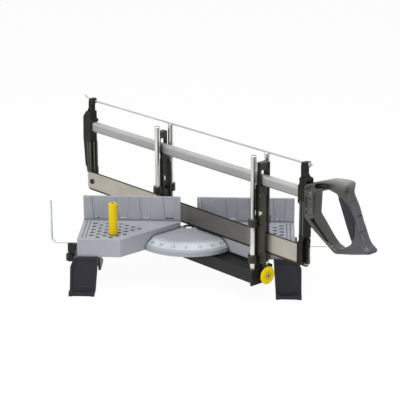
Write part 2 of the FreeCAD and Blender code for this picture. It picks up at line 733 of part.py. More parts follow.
# Guides: the same moulding twice, the rear one turned about
def guide(name):
    g = s.guide_half
    inner = g - s.guide_wall
    low = top - s.guide_drop
    high = top + s.guide_rise
    upper = top + 38
    arch_z = top + 87
    arch_u = 6
    solids = [
        box(name + "_long", (-9, 21), (-g, -inner), (low, arch_z)),
        rod(name + "_arch", "y", (arch_u, -g, arch_z), s.guide_wall, 15, RING_SIDES),
        box(name + "_strip", (2, 9), (-g, -inner), (arch_z, high)),
        box(name + "_short", (-7.5, 13.5), (inner, g), (low, top + 100)),
        box(name + "_short_strip", (1.5, 13.5), (inner, g), (top + 99, high)),
        box(name + "_bridge", (2, 12), (-g, g), (top + s.tube_rise + s.tube_height / 2 + 9, high)),
        box(name + "_rest", (-4, 12), (-g, g), (top + 90, top + s.tube_rise - s.tube_height / 2 - 0.2)),
        box(name + "_core", (-6, 12), (-g, g), (low, top + 44)),
    ]
    for k, z in enumerate((low, upper)):
        for m, side in enumerate((-1, 1)):
            ring = rod("%s_ring_%d_%d" % (name, k, m), "z", (0, s.post_half * side, z),
                       s.ring_height, s.ring_radius, RING_SIDES)
            edge = sorted((inner * side, s.post_half * side), key=lambda q: q.value)
            lug = box("%s_lug_%d_%d" % (name, k, m), (-5, 5), edge, (z, z + s.ring_height))
            solids += [ring, lug]
    half_slot = s.blade_thick / 2 + 0.15
    holes = [
        box(name + "_blade_slot", (-7, 26), (-half_slot, half_slot),
            (top - s.blade_drop - 3, top - s.blade_drop + s.blade_height + 6)),
        rod(name + "_peep", "y", (9.5, -g - 1, top + 91), s.guide_wall + 2, 1.9, PEG_SIDES),
        box(name + "_window", (4.5, 14.5), (-g - 1, -inner + 1), (top + 55.5, top + 64.5)),
    ]
    for k, z in enumerate((low, upper)):
        for m, side in enumerate((-1, 1)):
            holes.append(rod("%s_bore_%d_%d" % (name, k, m), "z", (0, s.post_half * side, z - 1),
                             s.ring_height + 2, s.post_dia / 2 + s.slide_gap, RING_SIDES))
        holes.append(rod("%s_pilot_%d" % (name, k), "y", (9.4, -g - 1, z + s.ring_height / 2),
                         7.5, 1.75, FEW))
    return cut(name + "_cut", fuse(name + "_solid", *solids), *holes)


def guide_screws(name):
    g = s.guide_half
    set_ = []
    for k, z in enumerate((top - s.guide_drop, top + 38)):
        set_.append(screw("%s_%d" % (name, k), "y", (9.4, -g, z + s.ring_height / 2),
                          6.3, 1.75, 1.6, 2.8))
    return group(name + "_set", *set_)


def on_posts(obj, reach, turn):
    """Puts a piece built about the origin onto its pair of posts."""
    angle = math.radians(-45)
    x = Size.of(reach) * round(math.cos(angle), 6)
    y = Size.of(reach) * round(math.sin(angle), 6)
    return place(obj, x, y, 0, FreeCAD.Rotation(V(0, 0, 1), -45 + turn))


node("front_guide", on_posts(guide("front_guide_made"), s.front_post, 0))
node("front_guide_screws", on_posts(guide_screws("front_screw"), s.front_post, 0))
node("rear_guide", on_posts(guide("rear_guide_made"), -s.rear_post, 180))
node("rear_guide_screws", on_posts(guide_screws("rear_screw"), -s.rear_post, 180))


# Blade with rounded lower corners and pin holes
toe_s = -s.blade_rear
heel_s = s.blade_length - s.blade_rear
edge = top - s.blade_drop
back = edge + s.blade_height
t = s.blade_thick / 2
blade_plate = slab("blade_plate", [
    (toe_s, back),
    (toe_s, edge + 8),
    (toe_s + 2.5, edge + 2.5),
    (toe_s + 8, edge),
    (heel_s - 8, edge),
    (heel_s - 2.5, edge + 2.5),
    (heel_s, edge + 8),
    (heel_s, back),
], "front", -t, t)
pins = (toe_s + 12.6, heel_s - 14)
pin_holes = [rod("blade_hole_%d" % k, "y", (x, -2, edge + 17), 4, 1.8, FEW) for k, x in enumerate(pins)]
blade_cut = cut("blade_finished", blade_plate, *pin_holes,
                rod("blade_small_hole", "y", (pins[0], -2, edge + 7.3), 4, 1.5, FEW))
node("blade", blade_cut, ARM)


# Frame tube
tube_z = top + s.tube_rise
th = s.tube_height / 2
tw = s.tube_width / 2


def rounded(a, b, c):
    """Rectangle with cut corners, centred on the tube axis; Y is across, Z up."""
    return [
        (-a + c, tube_z - b),
        (a - c, tube_z - b),
        (a, tube_z - b + c),
        (a, tube_z + b - c),
        (a - c, tube_z + b),
        (-a + c, tube_z + b),
        (-a, tube_z + b - c),
        (-a, tube_z - b + c),
    ]


tube_from = toe_s + 15
tube_to = heel_s - 12
tube_cut = cut("tube_finished",
               slab("tube_outer", rounded(tw, th, 1.8), "side", tube_from, tube_to),
               slab("tube_inner", rounded(tw - s.tube_wall, th - s.tube_wall, 1.2), "side",
                    tube_from - 1, tube_to + 1))
node("frame_tube", tube_cut, ARM)


# End pieces, hooked at the top for the tension rod
rod_z = top + s.rod_rise
end_half = 8.4


def raised(points, base_s):
    return [(base_s + a, top + b) for a, b in points]


HEEL = [
    (-19.8, -1), (-19.8, 33), (-16.2, 38), (-16.2, 98), (-20.1, 101), (-20.1, 128), (-17.4, 132),
    (-17.3, 146), (-17.8, 160), (-16.5, 166.5), (-5.5, 168), (-5.2, 159), (-9.3, 158), (-9.3, 148),
    (-2.5, 139), (-2.5, 60), (-5.5, 57), (-5.5, 43), (-8.1, 37), (-8.1, 2), (-12.5, -3.5),
]
TOE = [
    (7.5, -3), (7.5, 37), (3.5, 42), (-1, 94), (0, 133), (8, 143), (12.5, 151), (12.5, 161),
    (15.5, 168.5), (23.5, 168.5), (24.5, 160), (19.5, 159), (19, 151), (19.5, 131), (24, 129),
    (24, 126), (21, 124), (21, 104), (18.5, 101), (18.5, 43), (21.5, 38), (21.5, 27), (19, 22),
    (19, -3),
]
tongue = box("heel_tongue", (heel_s - 4, heel_s + 14), (-4, 4), (top + 80, top + 128))
heel_block = slab("heel_block", raised(HEEL, heel_s), "front", -end_half, end_half)
heel_far = box("heel_lap", (heel_s - 25, heel_s + 3), (-t - 0.05, end_half + 1),
               (edge - 3, back + 4))
hook_trim = [box("heel_trim_%d" % k, (heel_s - 25, heel_s + 2), pair, (top + 142, top + 172))
             for k, pair in enumerate(((-end_half - 1, -5), (5, end_half + 1)))]
heel_socket = slab("heel_socket", rounded(tw + 0.05, th + 0.05, 1.8), "side", heel_s - 25, tube_to + 0.1)
heel_rod_hole = rod("heel_rod_hole", "x", (heel_s - 30, 0, rod_z), 40, s.rod_dia / 2 + 0.05, FEW)
bolt_spots = ((heel_s + 7.1, top + 120.5), (heel_s + 5.6, top + 89.7))
tongue_holes = [rod("tongue_hole_%d" % k, "y", (a, -6, b), 12, s.screw_dia / 2, FEW)
                for k, (a, b) in enumerate(bolt_spots)]
heel_pin = rod("heel_pin_hole", "y", (pins[1], -end_half + 3, edge + 17), 12, 1.8, FEW)
node("heel_end", cut("heel_finished", fuse("heel_solid", heel_block, tongue), heel_far, *hook_trim,
                     heel_socket, heel_rod_hole, heel_pin, *tongue_holes), ARM)
toe_block = slab("toe_block", raised(TOE, toe_s), "front", -end_half + 0.4, end_half - 0.4)
toe_far = box("toe_lap", (toe_s - 2, toe_s + 30), (-end_half - 1, t + 0.05), (edge - 3, back + 1))
toe_trim = [box("toe_trim_%d" % k, (toe_s - 2, toe_s + 30), pair, (top + 144, top + 172))
            for k, pair in enumerate(((-end_half - 1, -5), (5, end_half + 1)))]
toe_socket = slab("toe_socket", rounded(tw + 0.05, th + 0.05, 1.8), "side", tube_from - 0.1, toe_s + 30)
toe_rod_hole = rod("toe_rod_hole", "x", (toe_s - 5, 0, rod_z), 40, s.rod_dia / 2 + 0.05, FEW)
toe_pin = rod("toe_pin_hole", "y", (pins[0], -1, edge + 17), 6, 1.8, FEW)
toe_cut = cut("toe_finished", toe_block, toe_far, *toe_trim, toe_socket, toe_rod_hole, toe_pin)
node("toe_end", toe_cut, ARM)
node("blade_screws", group("blade_screw_set",
                           screw("toe_screw", "y", (pins[0], -t, edge + 17), 5.5, 1.8, 2.4, 4.4),
                           screw("heel_screw", "y", (pins[1], t, edge + 17), 5.5, 1.8, 2.4, 4.4, -1)),
     ARM)


# Tension rod through both hooks, turned up at the toe, with a nut at the heel
rr = s.rod_dia / 2
run = rod("tension_run", "x", (toe_s + 10, 0, rod_z), heel_s - toe_s - 10 + 1.5, rr, FEW)
tail = rod("tension_tail", "x", (toe_s + 10, 0, rod_z), 14.8, rr, FEW)
place(tail, toe_s + 10.6, 0, rod_z - 0.3, FreeCAD.Rotation(V(0, 1, 0), -66))
node("tension_rod", fuse("tension_solid", run, tail), ARM)
hex_nut = doc.addObject("Part::Prism", "tension_hex")
hex_nut.Polygon = 6
hex_nut.Circumradius = 3.6
hex_nut.Height = 3.6
place(hex_nut, heel_s - 5, 0, rod_z, FreeCAD.Rotation(V(0, 1, 0), 90))
node("tension_nut", cut("tension_nut_bored", hex_nut,
                        rod("tension_nut_bore", "x", (heel_s - 6, 0, rod_z), 6, rr, FEW)), ARM)


# Handle: closed outlines whose round corners run in short chords, edges bevelled all round
def loop(sketch, corners):
    """Closed outline through corners given as (a, b, radius)."""
    n = len(corners)
    path = []
    for i in range(n):
        a, b, radius = corners[i]
        here = V(a, b, 0)
        ahead = (V(*corners[(i + 1) % n][:2], 0) - here).normalize()
        behind = (V(*corners[i - 1][:2], 0) - here).normalize()
        angle = behind.getAngle(ahead)
        centre = here + (ahead + behind).normalize() * (radius / math.sin(angle / 2))
        first = here + behind * (radius / math.tan(angle / 2)) - centre
        sweep = (math.pi - angle) * (1 if behind.cross(ahead).z < 0 else -1)
        chords = math.ceil(abs(sweep) / CHORD) if radius else 0
        for k in range(chords + 1):
            turn = FreeCAD.Rotation(V(0, 0, 1), math.degrees(sweep * k / max(chords, 1)))
            path.append(centre + turn.multVec(first))
    start = sketch.GeometryCount
    lines = [Part.LineSegment(path[k], path[(k + 1) % len(path)]) for k in range(len(path))]
    sketch.addGeometry(lines, False)
    sketch.addConstraint([Sketcher.Constraint("Block", start + k) for k in range(len(path))])


def moulded(name, loops, thickness, rounding, wanted=None):
    """PartDesign body: outline padded both ways from the blade plane, edges rounded."""
    shape = doc.addObject("PartDesign::Body", name + "_body")
    sk = shape.newObject("Sketcher::SketchObject", name + "_outline")
    sk.AttachmentSupport = [(shape.Origin.OriginFeatures[4], "")]
    sk.MapMode = "FlatFace"
    for corners in loops:
        loop(sk, corners)
    sk.AttachmentOffset = FreeCAD.Placement(V(heel_s.value, top.value, 0), FreeCAD.Rotation())
    bind(sk, "AttachmentOffset.Base.x", heel_s)
    bind(sk, "AttachmentOffset.Base.y", top)
    pad_ = shape.newObject("PartDesign::Pad", name + "_pad")
    pad_.Profile = sk
    pad_.Midplane = True
    pad_.Length = thickness.value
    bind(pad_, "Length", thickness)
    doc.recompute()
    if not rounding:
        shape.Tip = pad_
        return shape
    rims = []
    for i, e in enumerate(pad_.Shape.Edges, start=1):
        line = e.discretize(5)
        flat = max(v.y for v in line) - min(v.y for v in line) < 1e-6
        middle = line[2]
        if flat and (wanted is None or wanted(middle.x - heel_s.value, middle.z - top.value)):
            rims.append("Edge%d" % i)
    soft = shape.newObject("PartDesign::Chamfer", name + "_rounding")
    soft.Base = (pad_, rims)
    soft.Size = rounding
    doc.recompute()
    shape.Tip = soft
    return shape


CHORD = 0.24
GRIP = [
    (-5.6, 133, 6), (46, 152.6, 30), (72, 156.2, 30), (85.8, 155.6, 4), (83.4, 137.4, 9),
    (94.4, 121, 40), (108.2, 90.5, 60), (120.8, 66, 22), (141.8, 55.6, 4.6), (97, 43.2, 40),
    (62.5, 35.6, 12), (46.7, 45, 40), (14, 64.8, 60), (-4.8, 80.8, 5),
]
OPENING = [
    (17.2, 124.5, 5), (46, 136.8, 12), (64.5, 133.5, 6), (83.4, 90.5, 60), (97, 62.5, 6),
    (71.5, 44.5, 9), (56, 48.5, 12), (15.8, 88.6, 6),
]
INSERT = [
    (65.6, 130.8, 2.5), (83.4, 90.5, 60), (96.6, 63.4, 2.5), (104.2, 76, 14), (104, 98, 30),
    (89.5, 122, 20), (73.5, 131.8, 3),
]
CORE = [
    (76, 118.5, 0), (86.6, 91, 0), (98, 71, 0), (112, 74, 0), (104, 116, 0), (82, 134, 0),
]
PLATE_POCKET = [
    (-0.6, 129.8, 0), (13, 135, 0), (14.6, 126, 0), (13.8, 84.3, 0), (0, 83.1, 0),
]
ARM_POCKET = [
    (9.6, 80.4, 0), (16.4, 83.2, 0), (49, 52.6, 0), (44.6, 51.6, 0),
]
TOP_POCKET = [
    (18.4, 131.8, 0), (19.8, 138.4, 0), (70.4, 148.4, 0), (46, 142, 0),
]
pocket_deep = 3.6
half_thick = s.handle_thick / 2


def grip_side(a, b):
    """True for edges on the side of the insert that faces the opening."""
    return a < 87 - (b - 90.5) * 0.44


def pockets(name, corners):
    """The same shallow pocket in both sides of the handle."""
    through = moulded(name, (corners,), s.handle_thick + 2, 0)
    keep = box(name + "_floor", (heel_s - 30, heel_s + 160),
               (pocket_deep - half_thick, half_thick - pocket_deep), (top, top + 180))
    return cut(name + "_pair", through, keep)


handle_raw = moulded("handle", (GRIP, OPENING), s.handle_thick, 3)
insert_raw = moulded("insert", (INSERT,), s.handle_thick, 1.2, grip_side)
core = moulded("core", (CORE,), s.handle_thick - 7, 0)
ROOM = [INSERT[0][:2] + (0,), (76, 88, 0), INSERT[2][:2] + (0,)] + INSERT[3:]
insert_room = cut("insert_room_open", moulded("insert_room", (ROOM,), s.handle_thick + 4, 0), core)
heel_room = box("heel_room", (heel_s - 12, heel_s - 2.4), (-end_half - 0.1, end_half + 0.1),
                (top + 60, top + 139))
tongue_room = box("tongue_room", (heel_s - 9, heel_s + 14.1), (-4.05, 4.05), (top + 79.9, top + 128.1))
handle_holes = []
handle_rings = []
handle_screws = []
seat = half_thick - pocket_deep
for k, (a, b) in enumerate(bolt_spots):
    handle_holes.append(rod("handle_hole_%d" % k, "y", (a, -seat - 1, b), 2 * seat,
                            s.screw_dia / 2, FEW))
    for side, start in (("near", -half_thick + 1), ("far", seat - 0.5)):
        ring = rod("ring_%s_%d" % (side, k), "y", (a, start, b), pocket_deep - 0.5, 7.2, RING_SIDES)
        hollow = rod("ring_hollow_%s_%d" % (side, k), "y", (a, start - 1, b), pocket_deep + 2, 4.8,
                     FEW)
        handle_rings.append(cut("ring_open_%s_%d" % (side, k), ring, hollow))
    handle_screws.append(screw("handle_screw_%d" % k, "y", (a, -seat, b), 2 * seat - 1.2,
                               s.screw_dia / 2, 1.8, 4))
handle_open = cut("handle_open", handle_raw, insert_room)
handle_slotted = cut("handle_slotted", cut("handle_notched", handle_open, heel_room), tongue_room)
handle_pocketed = cut("handle_pocketed", handle_slotted, pockets("plate_pocket", PLATE_POCKET),
                      pockets("arm_pocket", ARM_POCKET), pockets("top_pocket", TOP_POCKET))
handle_ringed = fuse("handle_ringed", handle_pocketed, *handle_rings)
node("handle", cut("handle_finished", handle_ringed, *handle_holes), ARM)
node("grip_insert", group("insert_placed", cut("insert_hollowed", insert_raw, core)), ARM)
node("handle_screws", group("handle_screw_set", *handle_screws), ARM)


# Build, look over every object and write the files
doc.recompute()
for obj in doc.Objects:
    if "Invalid" in obj.State or "Error" in obj.State:
        raise RuntimeError("object %s is %s" % (obj.Name, obj.State))
os.makedirs("parts", exist_ok=True)
for label, obj in NODES:
    shape = obj.Shape
    if shape.isNull() or not shape.isValid() or not shape.Solids:
        raise RuntimeError("node %s has no sound solid" % label)
    shape.exportStep("parts/%s.step" % label)
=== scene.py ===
import json
import math

import bmesh
import bpy
import numpy as np
from mathutils import Matrix, Vector


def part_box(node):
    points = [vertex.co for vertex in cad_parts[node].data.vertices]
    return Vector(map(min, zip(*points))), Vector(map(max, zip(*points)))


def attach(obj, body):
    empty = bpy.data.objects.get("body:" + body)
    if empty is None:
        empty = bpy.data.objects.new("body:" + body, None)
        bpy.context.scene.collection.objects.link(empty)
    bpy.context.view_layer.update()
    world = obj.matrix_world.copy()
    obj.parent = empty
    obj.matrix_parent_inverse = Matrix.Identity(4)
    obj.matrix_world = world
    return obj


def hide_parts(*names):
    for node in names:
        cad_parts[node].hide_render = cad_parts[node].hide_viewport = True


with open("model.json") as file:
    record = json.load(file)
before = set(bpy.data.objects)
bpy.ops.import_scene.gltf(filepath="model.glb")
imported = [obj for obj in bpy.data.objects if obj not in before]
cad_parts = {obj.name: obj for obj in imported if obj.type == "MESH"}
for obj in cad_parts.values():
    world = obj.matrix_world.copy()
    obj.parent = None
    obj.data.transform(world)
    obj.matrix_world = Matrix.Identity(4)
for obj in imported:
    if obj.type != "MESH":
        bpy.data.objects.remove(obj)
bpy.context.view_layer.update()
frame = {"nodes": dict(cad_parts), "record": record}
NODES = frame["nodes"]
BODY = {node: body for body, nodes in frame["record"]["behaviour"]["bodies"].items() for node in nodes}
MM = 0.001
HALF_ROOT = math.sqrt(0.5)


# Levels and places in millimetres, as in the part's source
TABLE = 88.0
ARM_TURN = math.radians(-45)
BLADE_TOE = -275.5
BLADE_LENGTH = 560.0
HEEL = BLADE_TOE + BLADE_LENGTH
BLADE_EDGE = TABLE - 6.8
BLADE_HEIGHT = 36.0
BLADE_THICK = 1.0
BAND_IN = 77.2
BAND_TOP = TABLE - 10.84
BAND_FALL = 0.7


# Camera as fitted to the photo: image taken as 400 by 400
PHOTO_WIDTH = 400
FOCAL_PIXELS = 1551.18
SENSOR = 36.0
CAMERA_AT = Vector((129.47, -2510.44, 953.13)) * MM
CAMERA_AZIMUTH = math.radians(2.5148)
CAMERA_DOWN = math.radians(18.2117)
CAMERA_REACH = 50


def make_camera():
    data = bpy.data.cameras.new("photo_camera")
    data.sensor_width = SENSOR
    data.lens = FOCAL_PIXELS / PHOTO_WIDTH * SENSOR
    camera = bpy.data.objects.new("photo_camera", data)
    bpy.context.scene.collection.objects.link(camera)
    ahead = Vector((
        -math.sin(CAMERA_AZIMUTH) * math.cos(CAMERA_DOWN),
        math.cos(CAMERA_AZIMUTH) * math.cos(CAMERA_DOWN),
        -math.sin(CAMERA_DOWN),
    ))
    camera.location = CAMERA_AT
    camera.rotation_mode = "QUATERNION"
    camera.rotation_quaternion = ahead.to_track_quat("-Z", "Y")
    data.clip_end = CAMERA_REACH
    bpy.context.scene.camera = camera


# Colours are given as they look on screen, each part from 0 to 255
def screen(r, g, b):
    def linear(c):
        c = c / 255
        return c / 12.92 if c <= 0.04045 else ((c + 0.055) / 1.055) ** 2.4
    return (linear(r), linear(g), linear(b), 1.0)


# Patterns of the materials: noise scales, strengths, ramps, and depths and reaches in metres
CLOUDS = 14
SPECKS = 160
SHEEN = 60
STREAKS = 500
PATCHES = 30
GRAIN_STRENGTH = 0.35
METAL_STRENGTH = 0.08
METAL_DEPTH = 0.00005
BLADE_GRAIN = 420
BLADE_DEPTH = 0.00004
WEAR_AND_HIGHLIGHT_EDGES = [(0.90, 1.0), (0.992, 0.0)]
SPECKLE = [(0.35, 0.25), (0.7, 1.0)]
METAL_EDGE = 0.0004
CREASE_SHADE_REACH = 0.006
CREASE_SHADE_OPEN = 0.85
SHUT_IN = 0.3
BEVEL_SAMPLES = 6
HOLLOW_SHADE_SAMPLES = 8


class Recipe:
    """A material with a few short ways of adding nodes."""

    def __init__(self, name, rough=0.5, metal=0.0, level=0.5):
        self.mat = bpy.data.materials.new(name)
        self.mat.use_nodes = True
        self.tree = self.mat.node_tree
        self.shader = self.tree.nodes["Principled BSDF"]
        self.shader.inputs["Roughness"].default_value = rough
        self.shader.inputs["Metallic"].default_value = metal
        self.shader.inputs["Specular IOR Level"].default_value = level

    def add(self, kind, **values):
        node = self.tree.nodes.new(kind)
        for key, value in values.items():
            if key in node.inputs:
                node.inputs[key].default_value = value
            else:
                setattr(node, key, value)
        return node

    def link(self, source, target):
        self.tree.links.new(source, target)

    def place(self, stretch=(1, 1, 1), turn=0.0):
        """Object coordinates, stretched or turned about Z."""
        where = self.add("ShaderNodeTexCoord")
        mapping = self.add("ShaderNodeMapping")
        mapping.inputs["Rotation"].default_value = (0, 0, turn)
        mapping.inputs["Scale"].default_value = stretch
        self.link(where.outputs["Object"], mapping.inputs["Vector"])
        return mapping.outputs["Vector"]

    def noise(self, scale, detail=4.0, stretch=(1, 1, 1), turn=0.0):
        node = self.add("ShaderNodeTexNoise", Scale=scale, Detail=detail)
        self.link(self.place(stretch, turn), node.inputs["Vector"])
        return node.outputs["Fac"]

    def ramp(self, source, stops):
        node = self.add("ShaderNodeValToRGB")
        ramp = node.color_ramp
        while len(ramp.elements) < len(stops):
            ramp.elements.new(0.5)
        for element, (at, colour) in zip(ramp.elements, stops):
            element.position = at
            element.color = colour
        self.link(source, node.inputs["Fac"])
        return node.outputs["Color"]

    def grey_ramp(self, source, stops):
        return self.ramp(source, [(at, (v, v, v, 1)) for at, v in stops])

    def along(self, direction, low, high, stops):
        """Ramp of colours along a direction, between two places in millimetres."""
        where = self.add("ShaderNodeTexCoord")
        dot = self.add("ShaderNodeVectorMath", operation="DOT_PRODUCT")
        dot.inputs[1].default_value = direction
        self.link(where.outputs["Object"], dot.inputs[0])
        span = self.add("ShaderNodeMapRange")
        span.inputs["From Min"].default_value = low * MM
        span.inputs["From Max"].default_value = high * MM
        self.link(dot.outputs["Value"], span.inputs["Value"])
        return self.ramp(span.outputs["Result"], stops)

    def edges(self, radius):
        """How far a rounded normal agrees with the true one: 1 on flats, lower on edges."""
        rounded = self.add("ShaderNodeBevel", Radius=radius, samples=BEVEL_SAMPLES)
        true = self.add("ShaderNodeNewGeometry")
        dot = self.add("ShaderNodeVectorMath", operation="DOT_PRODUCT")
        self.link(rounded.outputs["Normal"], dot.inputs[0])
        self.link(true.outputs["Normal"], dot.inputs[1])
        return dot.outputs["Value"]

    def hollows(self, reach, darkest, open_at):
        """Painted shade: grey that falls towards darkest in corners, grooves and holes."""
        node = self.add("ShaderNodeAmbientOcclusion", Distance=reach, samples=HOLLOW_SHADE_SAMPLES)
        return self.grey_ramp(node.outputs["AO"], [(SHUT_IN, darkest), (open_at, 1.0)])

    def bump(self, height, strength, distance, radius=0.0):
        node = self.add("ShaderNodeBump", Strength=strength, Distance=distance)
        self.link(height, node.inputs["Height"])
        if radius:
            rounded = self.add("ShaderNodeBevel", Radius=radius, samples=BEVEL_SAMPLES)
            self.link(rounded.outputs["Normal"], node.inputs["Normal"])
        self.link(node.outputs["Normal"], self.shader.inputs["Normal"])

    def mix(self, factor, first, second, kind="MIX"):
        node = self.add("ShaderNodeMix", data_type="RGBA", blend_type=kind)
        for value, socket in ((factor, node.inputs[0]), (first, node.inputs[6]), (second, node.inputs[7])):
            if isinstance(value, (float, int, tuple)):
                socket.default_value = value
            else:
                self.link(value, socket)
        return node.outputs[2]

    def colour(self, source):
        self.link(source, self.shader.inputs["Base Color"])
        return self.mat

    def roughness(self, source, low, high):
        self.link(self.grey_ramp(source, [(0.3, low), (0.7, high)]), self.shader.inputs["Roughness"])


def moulded(name, dark, light, worn_highlight, rough=(0.45, 0.6), grain=900, depth=0.00012, edge=0.0006,
            metal=0.0, level=0.5, hollow_shade=0.45, reach=0.006, open_at=0.85, crease_shade=1.0, shades=()):
    """Cast, moulded or painted surface: cloudy colour, fine grain, paler edges of wear and painted
    highlight, painted shade in hollows.

    Each of the shades is what Recipe.along takes, with a colour that it fades to, or None
    where the ramp's own colours are multiplied in.
    """
    r = Recipe(name, metal=metal, level=level)
    body = r.ramp(r.noise(CLOUDS, 5), [(0.35, dark), (0.65, light)])
    for course, other in shades:
        shade = r.along(*course)
        body = r.mix(shade, body, other) if other else r.mix(1.0, body, shade, "MULTIPLY")
    # Paler edges: partly wear, partly painted highlight
    wear_and_highlight_mask = r.grey_ramp(r.edges(edge), WEAR_AND_HIGHLIGHT_EDGES)
    speck = r.grey_ramp(r.noise(SPECKS, 3), SPECKLE)
    mask = r.mix(1.0, wear_and_highlight_mask, speck, "MULTIPLY")
    r.roughness(r.noise(SHEEN, 3), *rough)
    r.bump(r.noise(grain, 2), GRAIN_STRENGTH, depth, edge)
    worn_highlit_body = r.mix(mask, body, worn_highlight)
    # Painted shade in corners, grooves and holes, and a second, tighter one in creases
    shaded = r.mix(1.0, worn_highlit_body, r.hollows(reach, hollow_shade, open_at), "MULTIPLY")
    if crease_shade < 1:
        shaded = r.mix(1.0, shaded, r.hollows(CREASE_SHADE_REACH, crease_shade, CREASE_SHADE_OPEN), "MULTIPLY")
    return r.colour(shaded)


def bright_metal(name, dark, light, rough=(0.12, 0.22), metal=1.0):
    """Polished or ground metal with a faint grain."""
    r = Recipe(name, metal=metal)
    streak = r.noise(STREAKS, 3)
    r.roughness(streak, *rough)
    r.bump(streak, METAL_STRENGTH, METAL_DEPTH, METAL_EDGE)
    return r.colour(r.ramp(r.noise(PATCHES, 4), [(0.3, dark), (0.7, light)]))


ALONG_ARM = (HALF_ROOT, -HALF_ROOT, 0)
UPWARD = (0, 0, 1)
TUBE_MIDDLE = (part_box("frame_tube")[0][2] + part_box("frame_tube")[1][2]) / 2 / MM
BLACK = (0, 0, 0, 1)
WHITE = (1, 1, 1, 1)
FADE_IN = [(0.0, BLACK), (1.0, WHITE)]
REFLECTION_SHADE_STRETCH = (-60, 190)


def blade_steel():
    """Ground steel, brown at its back and teeth, with a painted reflection that darkens it where it runs
    between the fences.
    """
    r = Recipe("ground_blade_steel", metal=0.68)
    streak = r.noise(BLADE_GRAIN, 3, (1, 1, 0.06), ARM_TURN)
    r.roughness(streak, 0.34, 0.44)
    r.bump(streak, METAL_STRENGTH, BLADE_DEPTH)
    steel = screen(182, 177, 166)
    burnt = screen(56, 52, 46)
    bands = r.along(UPWARD, BLADE_EDGE, BLADE_EDGE + BLADE_HEIGHT,
                    [(0.0, burnt), (0.075, burnt), (0.12, steel), (0.93, steel), (0.955, burnt)])
    # Painted reflection: the blade darker where it runs between the fences
    fence_reflection_shade = r.along(ALONG_ARM, *REFLECTION_SHADE_STRETCH, [(0.0, WHITE), (0.25, screen(168, 170, 174)),
                                              (0.8, screen(160, 162, 166)), (1.0, WHITE)])
    cloud = r.grey_ramp(r.noise(22, 5, (1, 1, 2)), [(0.3, 0.84), (0.7, 1.0)])
    return r.colour(r.mix(1.0, r.mix(1.0, bands, fence_reflection_shade, "MULTIPLY"), cloud, "MULTIPLY"))


MATERIALS = {
    "casting": moulded("cast_grey", screen(153, 156, 163), screen(166, 169, 176), screen(212, 215, 219),
                       rough=(0.42, 0.55), hollow_shade=0.02, reach=0.02, open_at=0.52, crease_shade=0.12),
    "band": moulded("satin_band", screen(176, 182, 190), screen(200, 205, 212), screen(226, 228, 232),
                    rough=(0.3, 0.4), grain=1600, depth=0.00005),
    "band_ink": moulded("band_ink", screen(112, 119, 132), screen(124, 131, 144), screen(140, 146, 158)),
    "black_paint": moulded("black_paint", screen(18, 18, 19), screen(27, 27, 28), screen(80, 80, 80),
                           rough=(0.38, 0.5), level=0.3),
    "leg_paint": moulded("leg_paint", screen(30, 29, 38), screen(40, 39, 48), screen(92, 92, 100),
                         rough=(0.4, 0.5), level=0.3),
    "guide_plastic": moulded("guide_plastic", screen(38, 37, 33), screen(52, 51, 46), screen(104, 104, 96),
                             rough=(0.32, 0.44), level=0.3),
    "clip_plastic": moulded("clip_plastic", screen(32, 32, 32), screen(44, 44, 44), screen(84, 84, 84),
                            level=0.3),
    "end_casting": moulded("end_casting", screen(16, 15, 12), screen(27, 26, 22), screen(104, 104, 96),
                           rough=(0.4, 0.55), level=0.2),
    # Lighter grey for ribs, bolt rings and eyelet rims: painted highlight on raised parts of dark castings
    # and mouldings
    "highlit_raised_grey": moulded("highlit_raised_grey", screen(74, 74, 68), screen(90, 90, 84), screen(120, 120, 112),
                           rough=(0.35, 0.48), level=0.3),
    "handle_plastic": moulded("handle_plastic", screen(50, 50, 45), screen(62, 62, 57),
                              screen(120, 120, 114), rough=(0.26, 0.36), level=0.6, hollow_shade=0.12,
                              shades=[((ALONG_ARM, HEEL + 70, HEEL + 105, FADE_IN), screen(66, 66, 73)),
                                      # Painted highlight: the top of the handle lighter
                                      ((UPWARD, TABLE + 143, TABLE + 158, FADE_IN),
                                       screen(128, 128, 124))]),
    "soft_insert": moulded("soft_insert", screen(34, 34, 37), screen(46, 46, 50), screen(66, 66, 70),
                           rough=(0.6, 0.75), level=0.3),
    "yellow": moulded("yellow_plastic", screen(216, 184, 0), screen(229, 198, 0), screen(246, 222, 50),
                      rough=(0.3, 0.4), level=0.2, hollow_shade=0.35),
    "knob_yellow": moulded("knob_yellow", screen(232, 204, 0), screen(242, 214, 0), screen(250, 230, 40),
                           rough=(0.45, 0.55), level=0.15, hollow_shade=0.35),
    "tube": moulded("tube_grey", screen(178, 178, 179), screen(192, 192, 192), screen(205, 205, 205),
                    rough=(0.3, 0.42), metal=0.35, shades=[
                        # Painted shade: the tube darker towards its bottom, lightest along its top
                        ((UPWARD, TUBE_MIDDLE - 9, TUBE_MIDDLE + 9,
                          [(0.0, screen(176, 174, 170)), (0.12, screen(190, 188, 186)),
                           (0.2, screen(212, 211, 210)), (0.68, screen(214, 213, 212)),
                           (0.8, screen(246, 246, 246))]), None)]),
    "dark_screw": bright_metal("dark_screw", screen(48, 48, 48), screen(72, 72, 70), rough=(0.3, 0.45)),
    "grey_screw": bright_metal("grey_screw", screen(104, 104, 100), screen(130, 130, 126),
                               rough=(0.3, 0.45)),
    "warm_screw": bright_metal("warm_screw", screen(158, 136, 112), screen(180, 158, 134),
                               rough=(0.3, 0.4)),
    "steel": bright_metal("bright_steel", screen(190, 192, 193), screen(222, 224, 225)),
    "wire": bright_metal("bright_wire", screen(206, 211, 213), screen(226, 230, 232), metal=0.5),
    "rod": bright_metal("rod_steel", screen(180, 185, 183), screen(200, 205, 203), rough=(0.25, 0.35)),
    "brass": bright_metal("brass", screen(206, 198, 160), screen(222, 214, 180), rough=(0.25, 0.35)),
    "chrome": bright_metal("chrome", screen(205, 205, 203), screen(226, 226, 224), rough=(0.06, 0.12)),
    "blade": blade_steel(),
}

